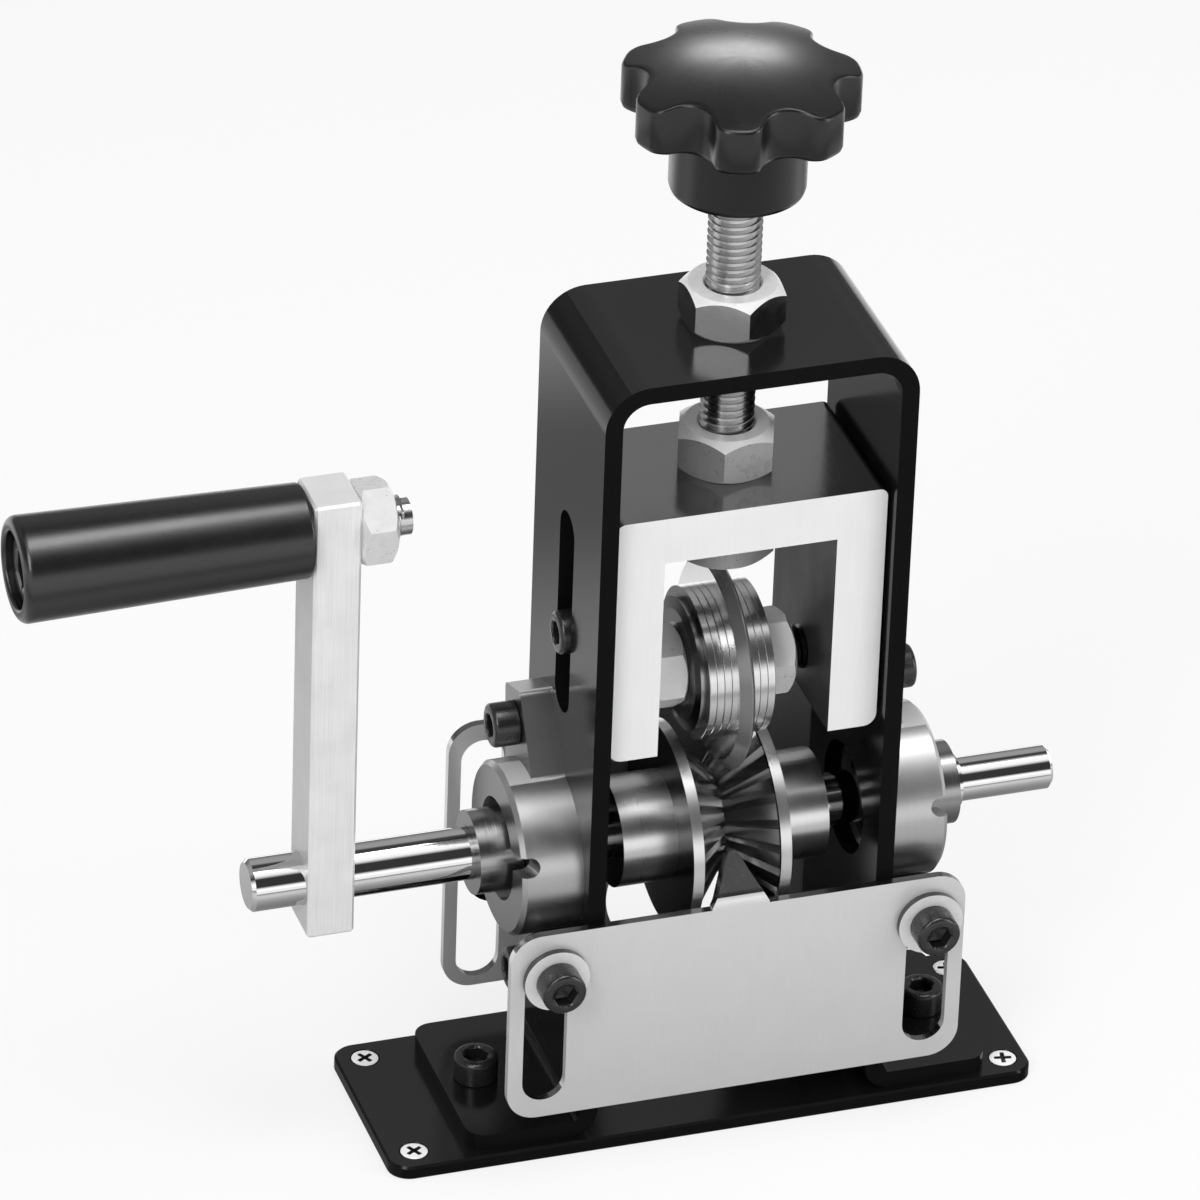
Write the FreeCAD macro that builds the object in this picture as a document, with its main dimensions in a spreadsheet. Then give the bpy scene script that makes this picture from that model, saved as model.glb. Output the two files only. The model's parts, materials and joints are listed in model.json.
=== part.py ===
import FreeCAD, Part
import math
import os
import Sketcher

# Hand crank wire stripper. Millimetres. The origin lies on the underside of the base, below the middle of
# the frame; +X points away from the crank, +Y to the rear, +Z up. The drive shaft runs along X.

os.makedirs("parts", exist_ok=True)
doc = FreeCAD.newDocument("wire_stripper")
sheet = doc.addObject("Spreadsheet::Sheet", "dims")
rows = []


class Size:
    """A sum of named sheet values: an expression for properties, and a number for choices in code."""

    def __init__(self, terms):
        self.terms = terms

    def __add__(self, other):
        terms = dict(self.terms)
        for name, factor in as_size(other).terms.items():
            terms[name] = terms.get(name, 0.0) + factor
        return Size(terms)

    def __mul__(self, factor):
        return Size({name: value * factor for name, value in self.terms.items()})

    def __neg__(self):
        return self * -1.0

    def __sub__(self, other):
        return self + as_size(other) * -1.0

    __radd__ = __add__
    __rmul__ = __mul__

    def text(self):
        words = ["%.9g" % self.terms.get("", 0.0)]
        for name, factor in self.terms.items():
            if name and abs(factor) > 1e-12:
                words.append("%.9g * dims.%s" % (factor, name))
        return " + ".join(words)

    def number(self):
        total = self.terms.get("", 0.0)
        for name, factor in self.terms.items():
            if name:
                total += factor * float(sheet.get(name))
        return total


def as_size(value):
    return value if isinstance(value, Size) else Size({"": float(value)})


def dim(name, value):
    """Write one driving value to the sheet."""
    row = len(rows) + 1
    rows.append(name)
    sheet.set("A%d" % row, name)
    sheet.set("B%d" % row, str(value))
    sheet.setAlias("B%d" % row, name)
    return Size({name: 1.0})


# ---------------------------------------------------------------- driving sizes
fit = dim("fit_gap", 0.05)
run = dim("running_gap", 0.1)

base_length = dim("base_length", 151.4)
base_width = dim("base_width", 50.5)
base_thick = dim("base_thick", 3.0)
base_shift = dim("base_shift", -3.9)
base_corner = dim("base_corner", 5.0)
base_bevel = dim("base_bevel", 0.5)
base_screw_shift = dim("base_screw_shift", -3.4)
base_screw_edge = dim("base_screw_edge", 6.1)
base_screw_reach = base_length * 0.5 - base_screw_edge
base_screw_row = dim("base_screw_row", 19.0)
base_screw_head = dim("base_screw_head", 3.1)
base_screw_shank = dim("base_screw_shank", 2.0)
base_screw_sink = dim("base_screw_sink", 1.4)
base_screw_ring = dim("base_screw_ring", 0.3)

shaft_height = dim("shaft_height", 67.3)
frame_thick = dim("frame_thick", 4.0)
frame_half = dim("frame_half", 35.6)
frame_depth = dim("frame_depth", 46.0)
foot_long = dim("foot_long", 25.6)
frame_reach = frame_half + foot_long
frame_rise = dim("frame_rise", 127.1)
frame_bend = dim("frame_bend", 10.0)
foot_bend = dim("foot_bend", 6.0)
foot_corner = dim("foot_corner", 4.5)
leg_slot_low = dim("leg_slot_low", 33.9)
leg_slot_high = dim("leg_slot_high", 84.3)
leg_slot_half = dim("leg_slot_half", 5.0)
leg_bore = dim("leg_bore", 13.0)
foot_bolt_out = dim("foot_bolt_out", 17.3)
foot_bolt_reach = frame_half + foot_bolt_out

m6_shank = dim("m6_shank", 3.0)
m6_head = dim("m6_head", 5.0)
m6_tall = dim("m6_tall", 6.0)
m6_socket = dim("m6_socket", 2.9)
m6_socket_deep = dim("m6_socket_deep", 3.2)

ring_radius = dim("ring_radius", 19.7)
ring_width = dim("ring_width", 13.9)
lobe_thick = dim("lobe_thick", 7.7)
lobe_wide = dim("lobe_wide", 9.8)
lobe_shoulder = dim("lobe_shoulder", 17.5)
lobe_narrow = dim("lobe_narrow", 5.4)
lobe_reach = dim("lobe_reach", 36.1)
lobe_round = dim("lobe_round", 1.6)
lobe_tilt = dim("lobe_tilt", 18.0)
ring_bevel = dim("ring_bevel", 1.0)
bearing_bolt_span = dim("bearing_bolt_span", 28.0)
bearing_seat = dim("bearing_seat", 14.6)
outer_ring_inner = dim("outer_ring_inner", 11.7)
outer_ring_back = dim("outer_ring_back", 2.0)
lip_thick = dim("lip_thick", 4.0)
load_groove_half = dim("load_groove_half", 2.25)
load_groove_deep = dim("load_groove_deep", 4.0)
collar_radius = dim("collar_radius", 9.5)
collar_reach = dim("collar_reach", 20.5)
seal_thick = dim("seal_thick", 1.2)
seal_gap = dim("seal_gap", 0.3)
collar_screw = dim("collar_screw", 2.0)
collar_screw_reach = dim("collar_screw_reach", 17.3)

shaft_radius = dim("shaft_radius", 6.0)
shaft_left = dim("shaft_left", 107.2)
shaft_right = dim("shaft_right", 80.0)
shaft_bevel = dim("shaft_bevel", 0.8)
shaft_shoulder = dim("shaft_shoulder", 1.9)
shaft_end_radius = dim("shaft_end_radius", 5.0)
wheel_hub = dim("wheel_hub", 12.5)
wheel_hub_reach = dim("wheel_hub_reach", 24.0)
wheel_rim = dim("wheel_rim", 23.6)
wheel_face = dim("wheel_face", 22.4)
wheel_root = dim("wheel_root", 11.5)
wheel_cone = dim("wheel_cone", 8.9)
wheel_phase = dim("wheel_phase", 6.0)
tooth_over = dim("tooth_over", 0.3)
wheel_flange = dim("wheel_flange", 11.4)
tooth_outer = dim("tooth_outer", 0.8)
tooth_inner = dim("tooth_inner", 0.45)
tooth_count = dim("tooth_count", 24)
wheel_screw = dim("wheel_screw", 2.5)
wheel_screw_reach = dim("wheel_screw_reach", 18.0)

arm_outer = dim("arm_outer", 95.0)
arm_inner = dim("arm_inner", 84.3)
arm_half = dim("arm_half", 7.0)
arm_low = dim("arm_low", 11.8)
arm_high = dim("arm_high", 98.5)
arm_bevel = dim("arm_bevel", 0.6)
grip_axis = dim("grip_axis", 89.3)
grip_gap = dim("grip_gap", 0.3)
grip_end = dim("grip_end", 160.0)
grip_small = dim("grip_small", 10.5)
grip_large = dim("grip_large", 11.75)
grip_rim_deep = dim("grip_rim_deep", 1.9)
grip_rim_drop = dim("grip_rim_drop", 1.6)
grip_rim_lip = dim("grip_rim_lip", 0.5)
grip_recess = dim("grip_recess", 8.5)
grip_recess_deep = dim("grip_recess_deep", 10.0)
m10_shank = dim("m10_shank", 5.0)
m10_head = dim("m10_head", 8.0)
m10_tall = dim("m10_tall", 8.0)
m10_socket = dim("m10_socket", 4.6)
m10_nut = dim("m10_nut", 9.8)
m10_nut_tall = dim("m10_nut_tall", 8.0)
grip_bolt_end = dim("grip_bolt_end", 74.0)

plate_back = dim("plate_back", 23.95)
plate_thick = dim("plate_thick", 1.9)
plate_corner = dim("plate_corner", 7.0)
plate_slot = dim("plate_slot", 5.0)
front_shift = dim("front_shift", -0.9)
front_margin = dim("front_margin", 17.4)
front_half = frame_half + front_margin
front_low = dim("front_low", 55.4)
front_high = dim("front_high", 7.4)
front_slot_out = dim("front_slot_out", 9.0)
front_slot_reach = frame_half + front_slot_out
front_slot_low = dim("front_slot_low", 50.9)
front_slot_high = dim("front_slot_high", 12.0)
rear_margin = dim("rear_margin", 17.9)
rear_half = frame_half + rear_margin
rear_low = dim("rear_low", 52.4)
rear_high = dim("rear_high", 17.1)
rear_slot_out = dim("rear_slot_out", 9.9)
rear_slot_reach = frame_half + rear_slot_out
rear_slot_low = dim("rear_slot_low", 49.9)
rear_slot_high = dim("rear_slot_high", 12.9)
rear_hole = dim("rear_hole", 15.2)
rear_hole_drop = dim("rear_hole_drop", 34.7)
tab_half = dim("tab_half", 6.65)
tab_shift = dim("tab_shift", -0.9)
tab_tip = dim("tab_tip", 0.6)
tab_bend = dim("tab_bend", 3.0)
tab_straight = dim("tab_straight", 9.0)
tab_angle = dim("tab_angle", 43.0)
lug_out = dim("lug_out", 8.0)
lug_reach = frame_half + lug_out
lug_drop = dim("lug_drop", 18.7)
lug_radius = dim("lug_radius", 7.0)
lug_deep = dim("lug_deep", 7.0)
washer_radius = dim("washer_radius", 7.5)
washer_thick = dim("washer_thick", 1.6)

carriage_gap = dim("carriage_gap", 0.7)
carriage_half = frame_half - frame_thick - carriage_gap
carriage_depth = dim("carriage_depth", 39.0)
carriage_low = dim("carriage_low", 31.1)
carriage_high = dim("carriage_high", 91.55)
carriage_bar = dim("carriage_bar", 11.2)
carriage_top_round = dim("carriage_top_round", 2.0)
carriage_leg_round = dim("carriage_leg_round", 3.0)
guide_head_height = dim("guide_head_height", 54.0)
guide_head_out = dim("guide_head_out", 2.0)
guide_head_reach = frame_half + guide_head_out
guide_screw_deep = dim("guide_screw_deep", 7.5)
guide_screw_spare = dim("guide_screw_spare", 0.5)
guide_head_gap = dim("guide_head_gap", 0.1)

blade_height = dim("blade_height", 41.5)
blade_edge = dim("blade_edge", 24.7)
blade_face = dim("blade_face", 23.8)
blade_bevel_left = dim("blade_bevel_left", 22.3)
blade_tip_low = dim("blade_tip_low", 0.1)
blade_tip_high = dim("blade_tip_high", 0.3)
blade_left = dim("blade_left", 2.0)
blade_right = dim("blade_right", 1.0)
blade_bore = dim("blade_bore", 11.0)
spacer_radius = dim("spacer_radius", 17.25)
left_spacer = dim("left_spacer", 1.72)
right_spacer = dim("right_spacer", 1.75)
hub_flange = dim("hub_flange", 15.1)
hub_left = dim("hub_left", 9.0)
hub_step = dim("hub_step", 12.4)
hub_step_deep = dim("hub_step_deep", 0.5)
hub_seat = dim("hub_seat", 9.5)
small_bearing_wide = dim("small_bearing_wide", 5.0)
small_outer_inner = dim("small_outer_inner", 8.0)
small_inner_outer = dim("small_inner_outer", 6.6)
nut_gap = fit + run * 0.5
nut_clear = dim("nut_clear", 2.6)
carriage_inner = hub_left + nut_gap + m10_nut_tall + nut_clear
axle_sink = dim("axle_sink", 0.5)
axle_end = carriage_half - axle_sink

spindle_radius = dim("spindle_radius", 6.0)
spindle_low = dim("spindle_low", 69.6)
spindle_top = dim("spindle_top", 186.0)
frame_nut_corner = dim("frame_nut_corner", 10.9)
frame_nut_tall = dim("frame_nut_tall", 9.9)
lock_nut_corner = dim("lock_nut_corner", 10.4)
upper_lock_tall = dim("upper_lock_tall", 10.7)
lower_lock_tall = dim("lower_lock_tall", 10.0)
knob_hub = dim("knob_hub", 14.9)
knob_low = dim("knob_low", 160.2)
knob_under = dim("knob_under", 176.9)
knob_dome = dim("knob_dome", 192.0)
knob_radius = dim("knob_radius", 26.0)
knob_valley = dim("knob_valley", 7.0)
knob_valley_out = dim("knob_valley_out", 27.5)
knob_lobes = dim("knob_lobes", 7)
knob_tip_round = dim("knob_tip_round", 3.6)
crown_radius_1 = dim("crown_radius_1", 27.0)
crown_drop_1 = dim("crown_drop_1", 9.2)
crown_radius_2 = dim("crown_radius_2", 25.0)
crown_drop_2 = dim("crown_drop_2", 4.8)
crown_radius_3 = dim("crown_radius_3", 23.0)
crown_drop_3 = dim("crown_drop_3", 3.4)
crown_radius_4 = dim("crown_radius_4", 18.0)
crown_drop_4 = dim("crown_drop_4", 1.8)
crown_radius_5 = dim("crown_radius_5", 10.0)
crown_drop_5 = dim("crown_drop_5", 0.5)
knob_over = dim("knob_over", 1.0)
knob_turn = dim("knob_turn", -110.0)

doc.recompute()

# ---------------------------------------------------------------- helpers
X_AXIS = FreeCAD.Vector(1, 0, 0)
Y_AXIS = FreeCAD.Vector(0, 1, 0)
Z_AXIS = FreeCAD.Vector(0, 0, 1)
TURNS = {
    "X": FreeCAD.Rotation(Y_AXIS, 90),
    "Y": FreeCAD.Rotation(X_AXIS, -90),
    "Z": FreeCAD.Rotation(),
}
counter = []


def fresh(stem):
    counter.append(stem)
    return "%s_%03d" % (stem, len(counter))


def bind(item, prop, value):
    item.setExpression(prop, as_size(value).text())


def put(item, x=0, y=0, z=0, turn=None):
    """Place an object at bound coordinates."""
    item.Placement = FreeCAD.Placement(FreeCAD.Vector(), turn or FreeCAD.Rotation())
    for axis, value in zip("xyz", (x, y, z)):
        bind(item, "Placement.Base." + axis, value)
    return item


def spread(axis, start, u, v):
    """Base point of a solid that starts at `start` on an axis and is centred at (u, v) across it."""
    if axis == "X":
        return start, u, v
    if axis == "Y":
        return u, start, v
    return u, v, start


def rod(axis, radius, start, end, u=0, v=0):
    item = doc.addObject("Part::Cylinder", fresh("rod"))
    bind(item, "Radius", radius)
    bind(item, "Height", as_size(end) - start)
    return put(item, *spread(axis, start, u, v), turn=TURNS[axis])


def taper(axis, first, last, start, end, u=0, v=0):
    item = doc.addObject("Part::Cone", fresh("taper"))
    bind(item, "Radius1", first)
    bind(item, "Radius2", last)
    bind(item, "Height", as_size(end) - start)
    return put(item, *spread(axis, start, u, v), turn=TURNS[axis])


def hexagon(axis, corner, start, end, u=0, v=0, angle=0.0):
    item = doc.addObject("Part::Prism", fresh("hexagon"))
    item.Polygon = 6
    bind(item, "Circumradius", corner)
    bind(item, "Height", as_size(end) - start)
    turn = TURNS[axis].multiply(FreeCAD.Rotation(Z_AXIS, angle))
    return put(item, *spread(axis, start, u, v), turn=turn)


def block(x_low, x_high, y_low, y_high, z_low, z_high):
    item = doc.addObject("Part::Box", fresh("block"))
    bind(item, "Length", as_size(x_high) - x_low)
    bind(item, "Width", as_size(y_high) - y_low)
    bind(item, "Height", as_size(z_high) - z_low)
    return put(item, x_low, y_low, z_low)


def join(parts, label=None):
    if len(parts) == 1 and label is None:
        return parts[0]
    item = doc.addObject("Part::MultiFuse", label or fresh("join"))
    item.Shapes = parts
    item.Refine = True
    return item


def common(parts, label=None):
    item = doc.addObject("Part::MultiCommon", label or fresh("common"))
    item.Shapes = parts
    return item


def cut(base, tools, label=None):
    item = doc.addObject("Part::Cut", label or fresh("cut"))
    item.Base = base
    item.Tool = join(tools)
    return item


def slot_tool(axis, half, low, high, start, end, u):
    """Round-ended slot through a wall, tall along Z; `low` and `high` are its ends."""
    ends = [low + half, high - half]
    parts = []
    for height in ends:
        if axis == "X":
            parts.append(rod("X", half, start, end, u, height))
        else:
            parts.append(rod("Y", half, start, end, u, height))
    if axis == "X":
        parts.append(block(start, end, u - half, u + half, ends[0], ends[1]))
    else:
        parts.append(block(u - half, u + half, start, end, ends[0], ends[1]))
    return join(parts)


def solid_body(name):
    return doc.addObject("PartDesign::Body", name)


def origin_item(body, role):
    for feature in body.Origin.OriginFeatures:
        if feature.Role == role:
            return feature
    raise ValueError(role)


def point_on(sketch, edge, place, x, y, tag):
    """Tie one sketch point to bound coordinates."""
    for kind, word, value, line in (("DistanceX", "x", x, -2), ("DistanceY", "y", y, -1)):
        value = as_size(value)
        if not value.terms or all(abs(f) < 1e-12 for f in value.terms.values()):
            sketch.addConstraint(Sketcher.Constraint("PointOnObject", edge, place, line))
            continue
        index = sketch.addConstraint(Sketcher.Constraint(kind, -1, 1, edge, place, value.number()))
        sketch.renameConstraint(index, word + tag)
        sketch.setExpression("Constraints." + word + tag, value.text())


def outline(body, role, corners, offset=0):
    """Closed sketch. A corner is (x, y) or (x, y, bulge); bulge is the signed radius of the next edge."""
    sketch = body.newObject("Sketcher::SketchObject", fresh("sketch"))
    sketch.AttachmentSupport = (origin_item(body, role), [""])
    sketch.MapMode = "FlatFace"
    bind(sketch, "AttachmentOffset.Base.z", offset)
    spots = [FreeCAD.Vector(as_size(c[0]).number(), as_size(c[1]).number(), 0) for c in corners]
    ends = []
    for index, corner in enumerate(corners):
        here = spots[index]
        there = spots[(index + 1) % len(corners)]
        if len(corner) == 2:
            sketch.addGeometry(Part.LineSegment(here, there), False)
            ends.append((1, 2))
            continue
        radius = as_size(corner[2])
        size = abs(radius.number())
        chord = there - here
        side = FreeCAD.Vector(-chord.y, chord.x, 0).normalize()
        sagitta = size - math.sqrt(max(size * size - chord.Length ** 2 / 4.0, 0.0))
        middle = here + chord * 0.5 + side * math.copysign(sagitta, radius.number())
        turns_left = (middle - here).cross(there - middle).z > 0
        first, last = (here, there) if turns_left else (there, here)
        sketch.addGeometry(Part.Arc(first, middle, last), False)
        ends.append((1, 2) if turns_left else (2, 1))
        tag = "radius%d" % index
        number = sketch.addConstraint(Sketcher.Constraint("Radius", index, size))
        sketch.renameConstraint(number, tag)
        sketch.setExpression("Constraints." + tag, (radius if radius.number() > 0 else -radius).text())
    for index, corner in enumerate(corners):
        before = (index - 1) % len(corners)
        link = Sketcher.Constraint("Coincident", before, ends[before][1], index, ends[index][0])
        sketch.addConstraint(link)
    for index, corner in enumerate(corners):
        point_on(sketch, index, ends[index][0], corner[0], corner[1], str(index))
    return sketch


def circle(body, role, radius, u=0, v=0, offset=0):
    sketch = body.newObject("Sketcher::SketchObject", fresh("sketch"))
    sketch.AttachmentSupport = (origin_item(body, role), [""])
    sketch.MapMode = "FlatFace"
    bind(sketch, "AttachmentOffset.Base.z", offset)
    centre = FreeCAD.Vector(as_size(u).number(), as_size(v).number(), 0)
    sketch.addGeometry(Part.Circle(centre, Z_AXIS, as_size(radius).number()), False)
    index = sketch.addConstraint(Sketcher.Constraint("Radius", 0, as_size(radius).number()))
    sketch.renameConstraint(index, "radius")
    sketch.setExpression("Constraints.radius", as_size(radius).text())
    point_on(sketch, 0, 3, u, v, "c")
    return sketch


def pad(body, sketch, length, flip=False):
    item = body.newObject("PartDesign::Pad", fresh("pad"))
    item.Profile = sketch
    bind(item, "Length", length)
    item.Reversed = flip
    doc.recompute()
    return item


def pocket(body, sketch, length, flip=False):
    item = body.newObject("PartDesign::Pocket", fresh("pocket"))
    item.Profile = sketch
    bind(item, "Length", length)
    item.Reversed = flip
    doc.recompute()
    return item


def turned(name, axis, corners):
    """Body of revolution: corners are (along, radius) for X, and (radius, along) for Z."""
    body = solid_body(name)
    sketch = outline(body, "XZ_Plane", corners)
    item = body.newObject("PartDesign::Revolution", fresh("turn"))
    item.Profile = sketch
    item.ReferenceAxis = (origin_item(body, axis + "_Axis"), [""])
    item.Angle = 360
    doc.recompute()
    return body


def near_edges(body, test):
    names = []
    for number, edge in enumerate(body.Tip.Shape.Edges):
        if test(edge):
            names.append("Edge%d" % (number + 1))
    return names


def curve_of(edge):
    try:
        return edge.Curve
    except TypeError:
        return None


def straight(edge, direction):
    if not isinstance(curve_of(edge), (Part.Line, Part.LineSegment)):
        return False
    run_of = edge.Vertexes[1].Point - edge.Vertexes[0].Point
    return abs(abs(run_of.normalize().dot(direction)) - 1.0) < 1e-6


def soften(body, kind, size, test):
    """Fillet or chamfer the edges of a body that pass a test."""
    names = near_edges(body, test)
    if not names:
        raise ValueError("no edge found in " + body.Name)
    tip = body.Tip
    item = body.newObject("PartDesign::" + kind, fresh(kind.lower()))
    item.Base = (tip, names)
    bind(item, "Radius" if kind == "Fillet" else "Size", size)
    doc.recompute()
    return item


def at_point(edge, x=None, y=None, z=None):
    spot = edge.CenterOfMass
    for value, wanted in ((spot.x, x), (spot.y, y), (spot.z, z)):
        if wanted is not None and abs(value - wanted) > 1e-3:
            return False
    return True


def hex_nut(axis, corner, bore, start, end, u=0, v=0, angle=0.0):
    """Plain hexagon nut."""
    return cut(hexagon(axis, corner, start, end, u, v, angle), [rod(axis, bore, start - 1, end + 1, u, v)])


def socket_screw(axis, sense, face, u, v, shank_length, head=None, tall=None, shank=None, angle=0.0):
    """Socket cap screw whose head stands on `face`, on the `sense` side of it."""
    head = m6_head if head is None else head
    tall = m6_tall if tall is None else tall
    shank = m6_shank if shank is None else shank
    socket, deep = (m6_socket, m6_socket_deep) if shank is m6_shank else (m10_socket, m6_socket_deep)
    top = face + tall * sense
    tip = face - shank_length * sense
    floor = top - deep * sense
    over = top + sense
    low, high = (tip, top) if sense > 0 else (top, tip)
    shank_part = rod(axis, shank, low, high, u, v)
    low, high = (face, top) if sense > 0 else (top, face)
    head_part = rod(axis, head, low, high, u, v)
    low, high = (floor, over) if sense > 0 else (over, floor)
    return cut(join([shank_part, head_part]), [hexagon(axis, socket, low, high, u, v, angle)])


def grub_screw(radius, start, end, u, v):
    """Set screw below its shaft, with a hexagon socket in its lower end."""
    return cut(rod("Z", radius, start, end, u, v), [hexagon("Z", radius * 0.6, start - 1, start + 1.5, u, v)])


parts = {}


def node(label, item):
    item.Label = label
    parts[label] = item
    return item


foot_top = base_thick + frame_thick
frame_top = shaft_height + frame_rise

# ---------------------------------------------------------------- base plate and its screws
plate = solid_body("base_blank")
left = base_shift - base_length * 0.5
right = base_shift + base_length * 0.5
back = base_width * 0.5
plate_corners = [(left, -back), (right, -back), (right, back), (left, back)]
pad(plate, outline(plate, "XY_Plane", plate_corners), base_thick)
soften(plate, "Fillet", base_corner, lambda e: straight(e, Z_AXIS))
soften(plate, "Chamfer", base_bevel, lambda e: at_point(e, z=base_thick.number()))
tools = []
screws = []
for side in (-1, 1):
    tools.append(rod("Z", m6_shank + fit, -1, base_thick + 1, foot_bolt_reach * side, 0))
    for row in (-1, 1):
        x = base_screw_shift + base_screw_reach * side
        y = base_screw_row * row
        sink = base_thick - base_screw_sink
        tools.append(rod("Z", base_screw_shank + fit, -1, base_thick, x, y))
        tools.append(taper("Z", base_screw_shank + base_screw_ring, base_screw_head + base_screw_ring,
                           sink, base_thick, x, y))
        tools.append(rod("Z", base_screw_head + base_screw_ring, base_thick, base_thick + 1, x, y))
        shank = rod("Z", base_screw_shank, 0.1, base_thick - 0.05, x, y)
        cone = taper("Z", base_screw_shank, base_screw_head, sink + 0.05, base_thick, x, y)
        screws.append(join([shank, cone]))
node("base_plate", cut(plate, tools, "base_plate"))
node("base_screws", join(screws, "base_screws"))

# ---------------------------------------------------------------- folded frame
frame = solid_body("frame_blank")
inner = frame_half - frame_thick
profile = [
    (-frame_reach, base_thick), (-inner, base_thick), (-inner, frame_top - frame_thick),
    (inner, frame_top - frame_thick), (inner, base_thick), (frame_reach, base_thick),
    (frame_reach, foot_top), (frame_half, foot_top), (frame_half, frame_top),
    (-frame_half, frame_top), (-frame_half, foot_top), (-frame_reach, foot_top),
]
pad(frame, outline(frame, "XZ_Plane", profile, offset=frame_depth * -0.5), frame_depth)
for x, z, size in (
        (frame_half, frame_top, frame_bend), (inner, frame_top - frame_thick, frame_bend - frame_thick),
        (inner, base_thick, foot_bend), (frame_half, foot_top, foot_bend - frame_thick)):
    soften(frame, "Fillet", size, lambda e: straight(e, Y_AXIS) and at_point(e, z=z.number())
           and abs(abs(e.CenterOfMass.x) - x.number()) < 1e-3)
soften(frame, "Fillet", foot_corner,
       lambda e: straight(e, Z_AXIS) and abs(abs(e.CenterOfMass.x) - frame_reach.number()) < 1e-3)
wide = frame_half + 1
tilted = FreeCAD.Rotation(FreeCAD.Vector(-1, 0, 0), lobe_tilt.number())
bolt_holes = join([
    rod("X", m6_shank + fit, -wide, wide, 0, bearing_bolt_span),
    rod("X", m6_shank + fit, -wide, wide, 0, -bearing_bolt_span),
])
put(bolt_holes, 0, 0, shaft_height, tilted)
tools = [
    bolt_holes,
    rod("X", leg_bore, -wide, wide, 0, shaft_height),
    slot_tool("X", leg_slot_half, shaft_height + leg_slot_low, shaft_height + leg_slot_high, -wide, wide,
              as_size(0)),
    rod("Z", spindle_radius + 1, frame_top - frame_thick - 1, frame_top + 1),
]
for side in (-1, 1):
    tools.append(rod("Z", m6_shank + fit, base_thick - 1, foot_top + 1, foot_bolt_reach * side, 0))
node("u_frame", cut(frame, tools, "u_frame"))
foot_screws = [
    socket_screw("Z", 1, foot_top, foot_bolt_reach * side, 0, foot_top - 0.4) for side in (-1, 1)
]
node("foot_bolts", join(foot_screws, "foot_bolts"))
frame_nut = hex_nut("Z", frame_nut_corner, spindle_radius + run, frame_top, frame_top + frame_nut_tall,
                    angle=30.0)
frame_nut.Label = "spindle_nut"
parts["spindle_nut"] = frame_nut

# ---------------------------------------------------------------- flange bearing units
outer_rings = []
seals = []
inner_rings = []
grubs = []
bearing_screws = []
for side, word in ((-1, "left"), (1, "right")):
    housing = solid_body("housing_" + word)
    flange = [
        (-lobe_narrow, -lobe_reach), (lobe_narrow, -lobe_reach), (lobe_wide, -lobe_shoulder),
        (lobe_wide, lobe_shoulder), (lobe_narrow, lobe_reach), (-lobe_narrow, lobe_reach),
        (-lobe_wide, lobe_shoulder), (-lobe_wide, -lobe_shoulder),
    ]
    pad(housing, outline(housing, "YZ_Plane", flange, offset=frame_half * side), lobe_thick, side < 0)
    soften(housing, "Fillet", lobe_round, lambda e: straight(e, X_AXIS)
           and abs(abs(e.CenterOfMass.z) - lobe_reach.number()) < 1e-3)
    pad(housing, circle(housing, "YZ_Plane", ring_radius, offset=frame_half * side), ring_width, side < 0)
    outer_face = frame_half + ring_width
    soften(housing, "Chamfer", ring_bevel, lambda e: isinstance(curve_of(e), Part.Circle)
           and at_point(e, x=outer_face.number() * side))
    near, far = (frame_half - 1, outer_face + 1) if side > 0 else (-outer_face - 1, -frame_half + 1)
    seat_end = outer_face - lip_thick
    low, high = (near, seat_end) if side > 0 else (-seat_end, far)
    tools = [rod("X", bearing_seat, low, high)]
    low, high = (seat_end - 1, far) if side > 0 else (near, -seat_end + 1)
    tools.append(rod("X", outer_ring_inner, low, high))
    groove = (outer_face - load_groove_deep + load_groove_half) * side
    low, high = (groove, outer_face + 1) if side > 0 else (-outer_face - 1, groove)
    grooves = [
        rod("Y", load_groove_half, -ring_radius - 1, ring_radius + 1, groove, 0),
        block(low, high, -ring_radius - 1, ring_radius + 1, -load_groove_half, load_groove_half)]
    for row in (-1, 1):
        tools.append(rod("X", m6_shank + fit, near, far, 0, bearing_bolt_span * row))
    shell = cut(cut(housing, grooves), tools, "bearing_housing_" + word)
    put(shell, 0, 0, shaft_height, tilted)
    node("bearing_housing_" + word, shell)

    head_face = (frame_half + lobe_thick) * side
    for row in (-1, 1):
        bearing_screws.append(socket_screw("X", side, head_face, 0, bearing_bolt_span * row,
                                           lobe_thick + frame_thick - 0.1))
    first = frame_half + outer_ring_back
    last = outer_face - lip_thick - fit
    low, high = (first, last) if side > 0 else (-last, -first)
    outer_rings.append(cut(rod("X", bearing_seat - fit, low, high, 0, shaft_height),
                           [rod("X", outer_ring_inner, low - 1, high + 1, 0, shaft_height)]))
    low = last - seal_thick - 0.4 if side > 0 else -last + 0.4
    high = last - 0.4 if side > 0 else -last + seal_thick + 0.4
    seals.append(cut(rod("X", outer_ring_inner - fit, low, high, 0, shaft_height),
                     [rod("X", collar_radius + seal_gap, low - 1, high + 1, 0, shaft_height)]))
    low, high = (first, frame_half + collar_reach) if side > 0 else (-frame_half - collar_reach, -first)
    x = (frame_half + collar_screw_reach) * side
    inner_rings.append(cut(rod("X", collar_radius, low, high, 0, shaft_height), [
        rod("X", shaft_radius + fit, low - 1, high + 1, 0, shaft_height),
        rod("Z", collar_screw + fit, shaft_height - collar_radius - 1, shaft_height, x, 0)]))
    grubs.append(grub_screw(collar_screw, shaft_height - collar_radius + 0.2,
                            shaft_height - shaft_radius - fit, x, 0))
node("bearing_bolts", put(join(bearing_screws, "bearing_bolts"), 0, 0, shaft_height, tilted))
node("bearing_outer_rings", join(outer_rings, "bearing_outer_rings"))
node("bearing_seals", join(seals, "bearing_seals"))
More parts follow.
